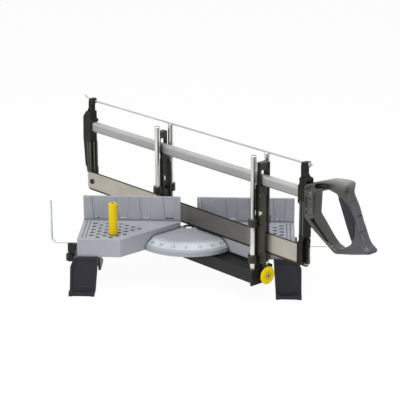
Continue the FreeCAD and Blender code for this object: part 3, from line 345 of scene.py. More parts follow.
# Material of each CAD node, and of the piece that stands for it
FINISH = {
    "base_casting": "casting",
    "scale_band": "band",
    "pivot_bolt": "wire",
    "pivot_nut": "steel",
    "right_leg": "leg_paint",
    "left_leg": "leg_paint",
    "leg_screws": "dark_screw",
    "right_clip": "clip_plastic",
    "left_clip": "clip_plastic",
    "right_clip_knob": "clip_plastic",
    "left_clip_knob": "clip_plastic",
    "clip_screws": "dark_screw",
    "stop_rod": "wire",
    "cam_peg": "yellow",
    "swing_arm": "black_paint",
    "front_post_right": "chrome",
    "front_post_left": "chrome",
    "rear_post_right": "chrome",
    "rear_post_left": "chrome",
    "lock_knob": "knob_yellow",
    "lock_spindle": "steel",
    "knob_screw": "warm_screw",
    "lock_pad": "clip_plastic",
    "front_guide": "guide_plastic",
    "rear_guide": "guide_plastic",
    "front_guide_screws": "dark_screw",
    "rear_guide_screws": "dark_screw",
    "blade": "blade",
    "frame_tube": "tube",
    "heel_end": "end_casting",
    "toe_end": "end_casting",
    "blade_screws": "dark_screw",
    "tension_rod": "rod",
    "tension_nut": "steel",
    "handle": "handle_plastic",
    "grip_insert": "soft_insert",
    "handle_screws": "grey_screw",
}


def paint_nodes():
    for name, obj in NODES.items():
        material = MATERIALS[FINISH[name]]
        if not obj.material_slots:
            obj.data.materials.append(material)
        for slot in obj.material_slots:
            slot.material = material


# Ways of making pieces; round stretches are drawn in steps of so many radians
FINE_STEP = 0.12
COARSE_STEP = 0.3


def smooth(mesh, sharp):
    """Smooth shading, with edges above the angle sharp left crisp."""
    for face in mesh.polygons:
        face.use_smooth = True
    mesh.set_sharp_from_angle(angle=math.radians(sharp))


def piece(name, bm, material, body, sharp=None, replaced=None):
    """Turns a bmesh in metres into a piece that rides on a body."""
    bmesh.ops.recalc_face_normals(bm, faces=bm.faces)
    mesh = bpy.data.meshes.new(name)
    bm.to_mesh(mesh)
    bm.free()
    if sharp:
        smooth(mesh, sharp)
    obj = bpy.data.objects.new(name, mesh)
    bpy.context.scene.collection.objects.link(obj)
    mesh.materials.append(MATERIALS[material])
    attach(obj, body)
    if replaced:
        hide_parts(replaced)
    return obj


def from_arm(along, across, up):
    """A point given along and across the blade, in millimetres, in the row frame in metres."""
    return Vector(((along + across) * HALF_ROOT, (across - along) * HALF_ROOT, up)) * MM


def to_arm(co):
    """Row frame in metres to along, across and height in the arm's own frame, in millimetres."""
    x, y, z = (np.asarray(co) / MM).T
    return np.stack([(x - y) * HALF_ROOT, (x + y) * HALF_ROOT, z], 1)


def to_row(co):
    """The arm's own frame in millimetres back to the row frame in metres."""
    along, across, up = co.T
    return np.stack([(along + across) * HALF_ROOT, (across - along) * HALF_ROOT, up], 1) * MM


def positions(mesh):
    co = np.empty(len(mesh.vertices) * 3)
    mesh.vertices.foreach_get("co", co)
    return co.reshape(-1, 3)


def arm_box(name):
    """Lowest and highest corner of a node in the arm's own frame, in millimetres."""
    co = to_arm(positions(NODES[name].data))
    return co.min(0), co.max(0)


def frame_at(origin, outward):
    """Matrix that stands Z along outward at origin, for shapes in millimetres."""
    turn = Vector(outward).to_track_quat("Z", "Y").to_matrix().to_4x4()
    return Matrix.Translation(origin) @ turn @ Matrix.Scale(MM, 4)


def bridge(bm, low, high):
    """Faces between two rings; a ring of one point closes the end."""
    for k in range(max(len(low), len(high))):
        here = [low[k % len(low)], low[(k + 1) % len(low)], high[(k + 1) % len(high)], high[k % len(high)]]
        bm.faces.new(list(dict.fromkeys(here)))


def lathe(bm, profile, sides, where, ring_shaped=False):
    """Closed turned body; the profile gives radius and height, the radius a number or one by angle."""
    rings = []
    for radius, height in profile:
        if radius == 0:
            rings.append([bm.verts.new(where @ Vector((0, 0, height)))])
            continue
        ring = []
        for k in range(sides):
            angle = 2 * math.pi * k / sides
            r = radius(angle) if callable(radius) else radius
            ring.append(bm.verts.new(where @ Vector((r * math.cos(angle), r * math.sin(angle), height))))
        rings.append(ring)
    for low, high in zip(rings, rings[1:]):
        bridge(bm, low, high)
    if ring_shaped:
        bridge(bm, rings[-1], rings[0])


def cross(size, width):
    """Outline of a cross recess as radius by angle."""
    def radius(angle):
        lean = abs((angle + math.pi / 4) % (math.pi / 2) - math.pi / 4)
        return min(size / math.cos(lean), width / max(math.sin(lean), 1e-6))
    return radius


def hexagon(size):
    """Outline of a hexagon of that inner radius as radius by angle."""
    def radius(angle):
        return size / math.cos((angle + math.pi / 6) % (math.pi / 3) - math.pi / 6)
    return radius


def fluted(size, depth, count):
    """Outline of a grip with round flutes as radius by angle."""
    def radius(angle):
        return size - depth * (0.5 + 0.5 * math.cos(count * angle)) ** 2
    return radius


def rounded(corners, step=FINE_STEP):
    """Outline through corners given as (a, b, radius), with round stretches in short steps."""
    points = []
    for i, (a, b, radius) in enumerate(corners):
        here = Vector((a, b))
        ahead = (Vector(corners[(i + 1) % len(corners)][:2]) - here).normalized()
        behind = (Vector(corners[i - 1][:2]) - here).normalized()
        angle = behind.angle(ahead)
        centre = here + (ahead + behind).normalized() * radius / math.sin(angle / 2)
        first = here + behind * radius / math.tan(angle / 2) - centre
        sweep = (math.pi - angle) * (1 if behind.cross(ahead) < 0 else -1)
        steps = max(1, math.ceil(abs(sweep) / step))
        for k in range(steps + 1):
            points.append(centre + Matrix.Rotation(sweep * k / steps, 2) @ first)
    return points


def prism(bm, outline, low, high, where):
    """Closed prism over an outline, between two heights."""
    rings = [[bm.verts.new(where(p[0], p[1], z)) for p in outline] for z in (low, high)]
    bridge(bm, *rings)
    bm.faces.new(rings[0])
    bm.faces.new(list(reversed(rings[1])))


# Blade with set teeth; the ends of its lower edge are rounded
TOOTH = 1.8
TOOTH_DEPTH = 0.9
TOOTH_SET = 0.12
TIP_SHARE = 0.8
CORNER = 8.0
NEAR_SIDE, FAR_SIDE, BACK = 0, 2, 3


def lower_edge(along):
    """Height of the blade's lower edge at a place along it."""
    near_end = min(along - BLADE_TOE, HEEL - along)
    if near_end >= CORNER:
        return BLADE_EDGE
    inset = CORNER - near_end
    return BLADE_EDGE + CORNER - math.sqrt(max(CORNER ** 2 - inset ** 2, 0))


def make_blade():
    count = int(BLADE_LENGTH / TOOTH)
    step = BLADE_LENGTH / count
    top = BLADE_EDGE + BLADE_HEIGHT
    half = BLADE_THICK / 2
    bm = bmesh.new()
    columns = []
    for i in range(count + 1):
        along = BLADE_TOE + i * step
        root = lower_edge(along) + TOOTH_DEPTH
        columns.append([bm.verts.new(from_arm(along, off, up))
                        for off, up in ((-half, top), (-half, root), (half, root), (half, top))])
    for i in range(count):
        here, after = columns[i], columns[i + 1]
        for k in (NEAR_SIDE, FAR_SIDE, BACK):
            m = (k + 1) % 4
            bm.faces.new((here[k], here[m], after[m], after[k]))
        along = BLADE_TOE + (i + 0.5) * step
        push = TOOTH_SET if i % 2 else -TOOTH_SET
        tips = [bm.verts.new(from_arm(along, off + push, lower_edge(along)))
                for off in (-half * TIP_SHARE, half * TIP_SHARE)]
        bm.faces.new((here[1], tips[0], after[1]))
        bm.faces.new((here[2], after[2], tips[1]))
        bm.faces.new((here[1], here[2], tips[1], tips[0]))
        bm.faces.new((after[1], tips[0], tips[1], after[2]))
    bm.faces.new(columns[0])
    bm.faces.new(list(reversed(columns[-1])))
    piece("toothed_blade", bm, "blade", "saw", replaced="blade")


# Handle: one lump of clay from the two CAD nodes, smoothed, carved and cut apart again

# Its places are (a, b) or (a, across, b), a from the blade's heel and b from the table
INSERT = [
    (65.6, 130.8, 2.5), (83.4, 90.5, 60), (96.6, 63.4, 2.5), (104.2, 76, 14), (104, 98, 30),
    (89.5, 122, 20), (73.5, 131.8, 3),
]
DEEP_POCKETS = [
    ([(17.6, 132.4), (19.2, 140.6), (44.2, 146.2), (75, 149.8), (61, 143.4), (41, 136.4)], 6.0),
    ([(9.5, 79.0), (17.6, 84.4), (50.4, 52.6), (47.5, 50.0), (40, 53.6)], 5.0),
]
GRIP_MARKS = [
    ((90.5, -7.0, 126.2), (90.2, 2.3, 127.2)), ((101.5, -2.5, 105.2), (101.4, 6.1, 105.1)),
    ((111.6, -7.0, 83.1), (111.7, 5.4, 83.4)), ((107.9, 7.7, 90.0), (110.9, 5.4, 84.9)),
]
POCKET_SLOPE = 1.6
MARK_DEPTH = 1.8
MARK_EDGES = (0.5, 2.1)
SEAM_DEPTH = 0.7
SEAM_EDGES = (0.2, 1.3)
TIPS = [(85.8, 154.5), (140, 55.6)]
TIP_REACH = (5, 16)
TIP_SOFTNESS = 0.3
GRIP_FROM = (58, 78)
BAR_FROM = (18, 30)
BAR_ABOVE = (138, 146)
BAR_SOFTNESS = 0.5
STRUT_FROM = (16, 26)
STRUT_BELOW = (-80, -66)
STRUT_SOFTNESS = 0.3
LEAST_SOFTNESS = 0.06
CORE = 3
CLAY_VOXEL = 1.0
ROUNDS = 46
RELAX_STEP = 0.5
LAST_SOFTNESS = 0.5
KNIFE_REACH = 30


def settle(obj):
    """Applies the modifiers of an object to its mesh."""
    bpy.context.view_layer.update()
    result = bpy.data.meshes.new_from_object(obj.evaluated_get(bpy.context.evaluated_depsgraph_get()))
    obj.modifiers.clear()
    obj.data = result


def worker(name, bm):
    """An object outside the scene's pieces, to be remeshed or cut."""
    mesh = bpy.data.meshes.new(name)
    bm.to_mesh(mesh)
    bm.free()
    obj = bpy.data.objects.new(name, mesh)
    bpy.context.scene.collection.objects.link(obj)
    return obj


def ramped(value, low, high):
    """Smooth step from 0 at low to 1 at high."""
    t = np.clip((value - low) / (high - low), 0, 1)
    return t * t * (3 - 2 * t)


def segment_distance(co, start, end):
    (x0, z0), (x1, z1) = start, end
    dx, dz = x1 - x0, z1 - z0
    t = np.clip(((co[:, 0] - x0) * dx + (co[:, 2] - z0) * dz) / (dx * dx + dz * dz), 0, 1)
    return np.hypot(co[:, 0] - x0 - t * dx, co[:, 2] - z0 - t * dz)


def line_distance(co, start, end):
    """Distance in space from a stretch of straight line."""
    start = np.array(start)
    run = np.array(end) - start
    t = np.clip((co - start) @ run / (run @ run), 0, 1)
    return np.linalg.norm(co - start - np.outer(t, run), axis=1)


def inside_depth(co, outline):
    """How far inside a closed outline each vertex lies, seen from the side; 0 outside."""
    inside = np.zeros(len(co), bool)
    near = np.full(len(co), np.inf)
    for start, end in zip(outline, outline[1:] + outline[:1]):
        near = np.minimum(near, segment_distance(co, start, end))
        straddles = (start[1] > co[:, 2]) != (end[1] > co[:, 2])
        rise = (end[1] - start[1]) or 1e-9
        at = start[0] + (co[:, 2] - start[1]) * (end[0] - start[0]) / rise
        inside ^= straddles & (co[:, 0] < at)
    return np.where(inside, near, 0)


def sink(co, amount):
    """Moves the broad sides of the clay inward by an amount per vertex, down to its core."""
    side = np.where(np.abs(co[:, 1]) > CORE, np.sign(co[:, 1]), 0)
    co[:, 1] -= side * np.minimum(amount, np.maximum(np.abs(co[:, 1]) - CORE, 0))


def relax(co, ends, weight, rounds):
    """Moves each vertex towards the middle of its neighbours."""
    count = len(co)
    degree = np.bincount(ends.ravel(), minlength=count)
    for _ in range(rounds):
        for axis in range(3):
            column = co[:, axis]
            total = np.bincount(ends[:, 0], column[ends[:, 1]], count)
            total += np.bincount(ends[:, 1], column[ends[:, 0]], count)
            co[:, axis] = column + weight * RELAX_STEP * (total / degree - column)


def softness(co):
    """How strongly each part is rounded: the grip most, the bars less, the plate and tips least."""
    a, b = co[:, 0], co[:, 2]
    grip = ramped(a, *GRIP_FROM)
    bar = BAR_SOFTNESS * ramped(a, *BAR_FROM) * ramped(b, *BAR_ABOVE)
    strut = STRUT_SOFTNESS * ramped(a, *STRUT_FROM) * ramped(-b, *STRUT_BELOW)
    soft = np.maximum(np.maximum(grip, bar), np.maximum(strut, LEAST_SOFTNESS))
    for tip in TIPS:
        away = ramped(np.hypot(a - tip[0], b - tip[1]), *TIP_REACH)
        soft *= TIP_SOFTNESS + (1 - TIP_SOFTNESS) * away
    return soft


def cut_apart(clay, name, outline, operation, material, replaced):
    """A copy of the clay, with a prism over the outline taken away or kept."""
    bm = bmesh.new()
    prism(bm, outline, -KNIFE_REACH, KNIFE_REACH, lambda a, b, across: Vector((a, across, b)))
    bmesh.ops.recalc_face_normals(bm, faces=bm.faces)
    tool = worker(name + "_tool", bm)
    bm = bmesh.new()
    bm.from_mesh(clay.data)
    part = worker(name + "_part", bm)
    knife = part.modifiers.new("knife", "BOOLEAN")
    knife.operation = operation
    knife.solver = "EXACT"
    knife.object = tool
    settle(part)
    co = positions(part.data)
    co[:, 0] += HEEL
    co[:, 2] += TABLE
    bm = bmesh.new()
    bm.from_mesh(part.data)
    for vert, place in zip(bm.verts, to_row(co)):
        vert.co = place
    for obj in (tool, part):
        bpy.data.objects.remove(obj)
    piece(name, bm, material, "saw", sharp=38, replaced=replaced)


def make_handle():
    bm = bmesh.new()
    for node in ("handle", "grip_insert"):
        bm.from_mesh(NODES[node].data)
    for vert, place in zip(bm.verts, to_arm([v.co for v in bm.verts])):
        vert.co = place - np.array((HEEL, 0, TABLE))
    clay = worker("grip_clay", bm)
    fine = clay.modifiers.new("fine", "REMESH")
    fine.mode = "VOXEL"
    fine.voxel_size = CLAY_VOXEL
    settle(clay)
    co = positions(clay.data)
    ends = np.empty(len(clay.data.edges) * 2, int)
    clay.data.edges.foreach_get("vertices", ends)
    ends = ends.reshape(-1, 2)
    for outline, depth in DEEP_POCKETS:
        sink(co, depth * ramped(inside_depth(co, outline), 0, POCKET_SLOPE))
    relax(co, ends, softness(co), ROUNDS)
    for start, end in GRIP_MARKS:
        co[:, 0] -= MARK_DEPTH * (1 - ramped(line_distance(co, start, end), *MARK_EDGES))
    outline = [tuple(p) for p in rounded(INSERT)]
    seam = np.full(len(co), np.inf)
    for start, end in zip(outline, outline[1:] + outline[:1]):
        seam = np.minimum(seam, segment_distance(co, start, end))
    sink(co, SEAM_DEPTH * (1 - ramped(seam, *SEAM_EDGES)))
    relax(co, ends, np.full(len(co), LAST_SOFTNESS), 1)
    clay.data.vertices.foreach_set("co", co.ravel())
    clay.data.update()
    cut_apart(clay, "smooth_handle", outline, "DIFFERENCE", "handle_plastic", "handle")
    cut_apart(clay, "smooth_insert", outline, "INTERSECT", "soft_insert", "grip_insert")
    bpy.data.objects.remove(clay)


# Screws with a cross recess, each standing where the CAD's plain one stands
SCREW_AXES = {
    "leg_screws": (0, 0, 1),
    "clip_screws": (1, 0, 0),
    "front_guide_screws": (HALF_ROOT, HALF_ROOT, 0),
    "rear_guide_screws": (HALF_ROOT, HALF_ROOT, 0),
    "blade_screws": (HALF_ROOT, HALF_ROOT, 0),
    "handle_screws": (HALF_ROOT, HALF_ROOT, 0),
    "knob_screw": ALONG_ARM,
}
SCREW_SIDES = 24

# How near counts as the same height or radius, in millimetres, then shares of the head
CLOSE = 0.01
RIM_BAND = 0.05
HEAD_LEAST = 0.1
HEAD_EDGE = 0.18
RECESS_REACH = 0.6
RECESS_WIDTH = 0.15


def islands(mesh):
    """Vertex positions of each separate solid of a mesh."""
    bm = bmesh.new()
    bm.from_mesh(mesh)
    bmesh.ops.remove_doubles(bm, verts=bm.verts, dist=1e-6)
    bm.verts.ensure_lookup_table()
    seen = [False] * len(bm.verts)
    groups = []
    for first in bm.verts:
        if seen[first.index]:
            continue
        seen[first.index] = True
        group = [first]
        for vert in group:
            for edge in vert.link_edges:
                other = edge.other_vert(vert)
                if not seen[other.index]:
                    seen[other.index] = True
                    group.append(other)
        groups.append(np.array([v.co for v in group]) / MM)
    bm.free()
    return groups


def measure_screw(co, axis):
    """Centre, radii of head and shank, and places of tip, seat and crown along the axis."""
    centre = (co.min(0) + co.max(0)) / 2
    height = (co - centre) @ axis
    reach = np.linalg.norm(co - centre - np.outer(height, axis), axis=1)
    low, high = height.min(), height.max()
    head_up = reach[height > high - CLOSE].max() > reach[height < low + CLOSE].max()
    tip, crown = (low, high) if head_up else (high, low)
    head = reach.max()
    shank = reach[np.abs(height - tip) < CLOSE].max()
    seats = height[(reach > head - RIM_BAND) & (np.abs(height - crown) > HEAD_LEAST)]
    seat = seats[np.argmax(np.abs(seats - crown))]
    return centre, head, shank, tip, seat, crown


def dress_screws(name, axis):
    bm = bmesh.new()
    axis = np.array(axis)
    for co in islands(NODES[name].data):
        centre, head, shank, tip, seat, crown = measure_screw(co, axis)
        way = 1 if crown > tip else -1
        where = frame_at(Vector(centre + axis * seat) * MM, Vector(axis) * way)
        deep = abs(seat - tip)
        tall = abs(crown - seat)
        edge = HEAD_EDGE * tall
        recess = cross(RECESS_REACH * head, RECESS_WIDTH * head)
        lathe(bm, [(0, -deep), (shank, -deep), (shank, 0), (head, 0), (head, tall - 2 * edge),
                   (head - edge, tall - 0.6 * edge), (0.7 * head, tall), (recess, tall),
                   (recess, 0.35 * tall), (0, 0.25 * tall)], SCREW_SIDES, where)
    piece(name + "_turned", bm, FINISH[name], BODY[name], sharp=35, replaced=name)


# Posts with chamfered ends
POST_CHAMFER = 0.9
POST_SIDES = 64


def make_post(name):
    low, high = (np.array(c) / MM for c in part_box(name))
    radius = (high[0] - low[0]) / 2
    tall = high[2] - low[2]
    bm = bmesh.new()
    where = frame_at(Vector(((low[0] + high[0]) / 2, (low[1] + high[1]) / 2, low[2])) * MM, (0, 0, 1))
    lathe(bm, [(0, 0), (radius - POST_CHAMFER, 0), (radius, POST_CHAMFER), (radius, tall - POST_CHAMFER),
               (radius - POST_CHAMFER, tall), (0, tall)], POST_SIDES, where)
    piece(name + "_ground", bm, "chrome", BODY[name], sharp=30, replaced=name)


# Lock knob: a thin fluted disc on a collar, with a sunken ring and a boss in its face
KNOB_FLUTES = 18
KNOB_SIDES = 144
COLLAR = 7.0
SUNKEN_RING = (5.2, 7.6)
BOSS = 4.6
SCREW_WELL = 3.8


def make_knob():
    low, high = arm_box("lock_knob")
    where = frame_at(from_arm(low[0], 0, (low[2] + high[2]) / 2), ALONG_ARM)
    radius = (high[2] - low[2]) / 2
    face = high[0] - low[0]
    wavy = fluted(radius, 0.7, KNOB_FLUTES)
    inner = fluted(radius - 0.9, 0.5, KNOB_FLUTES)
    collar = [(0, 0), (COLLAR - 0.5, 0), (COLLAR, 0.6), (COLLAR, face - 4.6)]
    disc = [(radius - 4, face - 3.8), (inner, face - 3.4), (wavy, face - 2.8), (wavy, face - 1.3),
            (inner, face - 0.5), (radius - 2.6, face)]
    ring = [(SUNKEN_RING[1], face), (SUNKEN_RING[1] - 0.8, face - 1.2), (SUNKEN_RING[0], face - 1.2)]
    boss = [(BOSS, face - 0.3), (SCREW_WELL + 0.1, face - 0.3), (SCREW_WELL, face - 1.6), (0, face - 1.6)]
    bm = bmesh.new()
    lathe(bm, collar + disc + ring + boss, KNOB_SIDES, where)
    piece("fluted_knob", bm, "knob_yellow", "lock", sharp=30, replaced="lock_knob")


# Cam peg with a round brow, a hexagon socket and its pin below
PIN_RADIUS = 4.0
PIN_OFFSET = 3.0
PIN_LONG = 7.2
PEG_SIDES = 60
PIN_SIDES = 40
BROW = 1.4
SOCKET = 2.8
SOCKET_DEEP = 8.0


def make_peg():
    low, high = (np.array(c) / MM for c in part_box("cam_peg"))
    radius = (high[1] - low[1]) / 2
    tall = high[2] - low[2]
    x, y = high[0] - radius, (low[1] + high[1]) / 2
    bm = bmesh.new()
    where = frame_at(Vector((x, y, low[2] + PIN_LONG)) * MM, (0, 0, 1))
    top = tall - PIN_LONG
    brow = [(radius - BROW + BROW * math.sin(t), top - BROW + BROW * math.cos(t))
            for t in (math.pi / 2, math.pi / 3, math.pi / 6, 0)]
    socket = hexagon(SOCKET)
    lathe(bm, [(0, 0), (radius - 0.8, 0), (radius, 0.8)] + brow
          + [(1.5 * SOCKET, top), (socket, top - 0.5), (socket, top - SOCKET_DEEP),
             (0, top - SOCKET_DEEP - 0.6)], PEG_SIDES, where)
    where = frame_at(Vector((x - PIN_OFFSET, y, low[2])) * MM, (0, 0, 1))
    lathe(bm, [(0, 0), (PIN_RADIUS - 0.6, 0), (PIN_RADIUS, 0.6), (PIN_RADIUS, PIN_LONG), (0, PIN_LONG)],
          PIN_SIDES, where)
    piece("turned_peg", bm, "yellow", "peg", sharp=35, replaced="cam_peg")


# Thumb knobs under the clips, each with its neck and screw
THUMB_FLUTES = 8
THUMB_SIDES = 96
GRIP_TALL = 11.0
NECK = 5.0
THREAD = 1.98


def make_thumb(name):
    low, high = (np.array(c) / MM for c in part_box(name))
    radius = (high[1] - low[1]) / 2
    where = frame_at(Vector(((low[0] + high[0]) / 2, (low[1] + high[1]) / 2, low[2])) * MM, (0, 0, 1))
    tall = high[2] - low[2]
    grip = fluted(radius, 1.1, THUMB_FLUTES)
    rim = fluted(radius - 0.9, 1.0, THUMB_FLUTES)
    bm = bmesh.new()
    lathe(bm, [(0, 0.8), (radius - 3, 0.8), (radius - 3.4, 0), (rim, 0), (grip, 0.9), (grip, GRIP_TALL),
               (rim, GRIP_TALL + 0.9), (NECK, GRIP_TALL + 1.1), (NECK, GRIP_TALL + 2.8),
               (THREAD, GRIP_TALL + 2.9), (THREAD, tall), (0, tall)], THUMB_SIDES, where)
    piece(name + "_fluted", bm, "clip_plastic", BODY[name], sharp=35, replaced=name)


# Frame tube with round corners
TUBE_WALL = 1.2
TUBE_CORNER = 3.0
TUBE_STEP = 0.2


def make_tube():
    low, high = arm_box("frame_tube")
    rings = []
    bm = bmesh.new()
    for inset in (0, TUBE_WALL):
        wide = (high[1] - low[1]) / 2 - inset
        tall = (high[2] - low[2]) / 2 - inset
        turn = TUBE_CORNER - inset
        section = rounded([(-wide, -tall, turn), (wide, -tall, turn), (wide, tall, turn),
                           (-wide, tall, turn)], TUBE_STEP)
        middle = (low[2] + high[2]) / 2
        for along in (low[0], high[0]):
            rings.append([bm.verts.new(from_arm(along, p[0], middle + p[1])) for p in section])
    outer_toe, outer_heel, inner_toe, inner_heel = rings
    for pair in ((outer_toe, outer_heel), (outer_heel, inner_heel), (inner_heel, inner_toe),
                 (inner_toe, outer_toe)):
        bridge(bm, *pair)
    piece("round_cornered_tube", bm, "tube", "saw", sharp=40, replaced="frame_tube")


# Scale: a line per degree, longer every fifth, and plain angle numbers, on the conical band
LINE_RAISE = 0.12
LINE_SINK = 0.05
LINE_START = 0.5
LONG_LINE = (3.6, 0.55)
SHORT_LINE = (2.2, 0.4)
LAST_LINE = 46
NUMBERS = (-45, -30, -15, 0, 15, 30, 45)
NUMBER_HEIGHT = 6.0
NUMBER_FOOT = 13.2
OUTER_NUMBER = 0.95
CAPITAL = 0.7
SLANT = math.hypot(1, BAND_FALL)


def on_band(degrees, down, lift):
    """Point on the cone: angle from the front, distance down the slant and height over the surface."""
    radius = BAND_IN + (down + lift * BAND_FALL) / SLANT
    height = BAND_TOP - down / SLANT * BAND_FALL + lift / SLANT
    angle = math.radians(degrees)
    return Vector((radius * math.sin(angle), -radius * math.cos(angle), height)) * MM


def band_line(bm, degrees, start, end, width):
    half = math.degrees(width / 2 / (BAND_IN + start))
    rings = [[bm.verts.new(on_band(degrees + side * half, down, lift))
              for side, lift in ((-1, -LINE_SINK), (1, -LINE_SINK), (1, LINE_RAISE), (-1, LINE_RAISE))]
             for down in (start, end)]
    bridge(bm, *rings)
    bm.faces.new(rings[0])
    bm.faces.new(list(reversed(rings[1])))


def band_number(bm, text, degrees, down):
    """Raised figures whose feet point to the rim."""
    curve = bpy.data.curves.new("figures", "FONT")
    curve.body = text
    curve.align_x = "CENTER"
    curve.size = NUMBER_HEIGHT / CAPITAL
    curve.extrude = 0.5
    curve.resolution_u = 3
    carrier = bpy.data.objects.new("figures", curve)
    bpy.context.scene.collection.objects.link(carrier)
    bpy.context.view_layer.update()
    flat = bpy.data.meshes.new_from_object(carrier.evaluated_get(bpy.context.evaluated_depsgraph_get()))
    bpy.data.objects.remove(carrier)
    bent = bmesh.new()
    bent.from_mesh(flat)
    bmesh.ops.remove_doubles(bent, verts=bent.verts, dist=1e-5)
    for vert in bent.verts:
        x, y, z = vert.co
        lift = LINE_RAISE if z > 0 else -LINE_SINK
        vert.co = on_band(degrees + math.degrees(x / (BAND_IN + down)), down - y, lift)
    bent.to_mesh(flat)
    bent.free()
    bm.from_mesh(flat)


def make_scale():
    bm = bmesh.new()
    for degree in range(-LAST_LINE, LAST_LINE + 1):
        long, width = SHORT_LINE if degree % 5 else LONG_LINE
        band_line(bm, degree, LINE_START, LINE_START + long, width)
    for degree in NUMBERS:
        place = degree if abs(degree) < max(NUMBERS) else degree * OUTER_NUMBER
        band_number(bm, str(abs(degree)), place, NUMBER_FOOT)
    piece("scale_figures", bm, "band_ink", "base")


# Ribs of the end castings: upright beads on both broad sides, and on the toe end's inner side, in a lighter
# grey that paints their highlights
BEAD = ((-1.4, -0.6), (1.4, -0.6), (1.0, 0.7), (-1.0, 0.7))

# Places along the arm, low and high ends, and the casting's half width
RIBS = {
    "toe_end": ((-263.2, -257.2), (119.5, 176), 8.0),
    "heel_end": ((270.8, 276.9), (135, 193), 8.4),
}
BEAD_TAPER = 2.0
BEAD_TIP = 0.4
TOE_INNER_SIDE = -254.0
TOE_INNER_BEADS = (-1.5, 5.0)


def bead(bm, low, high, at):
    """Upright bead; at makes a point from a place across its face, out of it and up."""
    rings = [[bm.verts.new(at(p * scale, q * scale, up)) for p, q in BEAD]
             for up, scale in ((low, BEAD_TIP), (low + BEAD_TAPER, 1.0),
                               (high - BEAD_TAPER, 1.0), (high, BEAD_TIP))]
    for first, second in zip(rings, rings[1:]):
        bridge(bm, first, second)
    bm.faces.new(rings[0])
    bm.faces.new(list(reversed(rings[-1])))


def make_ribs(name):
    spots, (low, high), face = RIBS[name]
    bm = bmesh.new()
    for side in (-1, 1):
        for along in spots:
            bead(bm, low, high, lambda p, q, up: from_arm(along + p, side * (face + q), up))
    if name == "toe_end":
        for across in TOE_INNER_BEADS:
            bead(bm, low, high, lambda p, q, up: from_arm(TOE_INNER_SIDE + q, across + p, up))
    piece(name + "_ribs", bm, "highlit_raised_grey", "saw", sharp=50)


# Foot of the heel end, which covers the end of the blade
HEEL_FOOT = ((273.0, 87.5, 1.5), (284.0, 87.5, 2.5), (284.0, 119.0, 4.0), (285.0, 128.0, 3.0),
             (285.0, 129.5, 0.3), (273.0, 129.5, 0.3))
HEEL_FOOT_HALF = 2.2


def make_heel_foot():
    bm = bmesh.new()
    prism(bm, rounded(HEEL_FOOT, COARSE_STEP), -HEEL_FOOT_HALF, HEEL_FOOT_HALF,
          lambda along, up, across: from_arm(along, across, up))
    piece("heel_foot", bm, "end_casting", "saw", sharp=40)


# Rings standing round the handle's bolts, with the bolts at (a, b) as in the handle; their lighter grey is
# a painted highlight
BOLTS = ((7.1, 120.5), (5.6, 89.7))
PLATE_FLOOR = 8.0
RING_TOP = 10.9
RING_OUT = 6.4
RING_IN = 4.8
RING_SIDES = 32


def make_bolt_rings():
    bm = bmesh.new()
    for side in (-1, 1):
        for a, b in BOLTS:
            where = frame_at(from_arm(HEEL + a, side * PLATE_FLOOR, TABLE + b),
                             (side * HALF_ROOT, side * HALF_ROOT, 0))
            tall = RING_TOP - PLATE_FLOOR
            lathe(bm, [(RING_OUT, 0), (RING_OUT, tall - 0.4), (RING_OUT - 0.4, tall),
                       (RING_IN + 0.4, tall), (RING_IN, tall - 0.4), (RING_IN, 0)],
                  RING_SIDES, where, True)
    piece("bolt_rings", bm, "highlit_raised_grey", "saw", sharp=40)


# Front guide: a bright bar in its opening and two eyelets on its near face, whose rims take a lighter grey
# as painted highlight
GUIDE_BAR = ((176.9, 144.2, 0.7), (178.7, 144.2, 0.7), (178.7, 151.8, 0.7), (176.9, 151.8, 0.7))
GUIDE_NEAR = -9.0
BAR_SPAN = (-8.2, 6.5)
EYELETS = ((181.5, 179.0), (183.0, 133.5))
EYELET_SIDES = 24
EYELET_RING = ((0, -0.5), (2.7, -0.5), (2.7, 0.5), (2.4, 0.8), (1.9, 0.8), (1.7, 0.5), (1.7, 0.1), (0, 0.1))
EYELET_FLOOR = ((0, 0), (1.55, 0), (1.55, 0.3), (1.2, 0.2), (0, 0.15))


def make_eyelets(name, profile, material):
    bm = bmesh.new()
    for along, up in EYELETS:
        lathe(bm, profile, EYELET_SIDES,
              frame_at(from_arm(along, GUIDE_NEAR, up), (-HALF_ROOT, -HALF_ROOT, 0)))
    piece(name, bm, material, "front_carriage", sharp=40)


def make_guide_details():
    bm = bmesh.new()
    prism(bm, rounded(GUIDE_BAR, COARSE_STEP), *BAR_SPAN,
          lambda along, up, across: from_arm(along, across, up))
    piece("guide_bar", bm, "brass", "front_carriage", sharp=40)
    make_eyelets("guide_eyelets", EYELET_RING, "highlit_raised_grey")
    # Black floors in the eyelets: painted shade where the holes look dark
    make_eyelets("eyelet_shade_floors", EYELET_FLOOR, "black_paint")


# Floor, background, reflected cards and lamps, in metres and watts
FLOOR_SIZE = 30
FLOOR_WHITE = 0.95
ROOM_LIGHT = 0.5

# Place, size and turn of each card
CARDS = {
    "right_card": ((0.57, -0.61, 0.003), (0.62, 0.66), math.radians(45)),
    "front_card": ((0.0, -0.95, 0.003), (0.16, 1.0), 0.0),
}

# Place, aim, size and power of each lamp
LAMPS = {
    "top_box": ((0.1, -0.3, 1.8), (0, 0, 0.1), (1.6, 1.2), 18),
    "left_box": ((-1.7, -1.3, 1.1), (0, 0, 0.15), (1.0, 1.2), 18),
    "right_box": ((1.9, -0.9, 1.0), (0, 0, 0.15), (0.8, 1.2), 3.6),
}


def seen_white(tree):
    """1 for rays from the camera, off gloss or through glass, 0 for those that light the saw."""
    path = tree.nodes.new("ShaderNodeLightPath")
    total = path.outputs["Is Camera Ray"]
    for kind in ("Is Glossy Ray", "Is Transmission Ray"):
        add = tree.nodes.new("ShaderNodeMath")
        add.operation = "ADD"
        add.use_clamp = True
        tree.links.new(total, add.inputs[0])
        tree.links.new(path.outputs[kind], add.inputs[1])
        total = add.outputs["Value"]
    return total


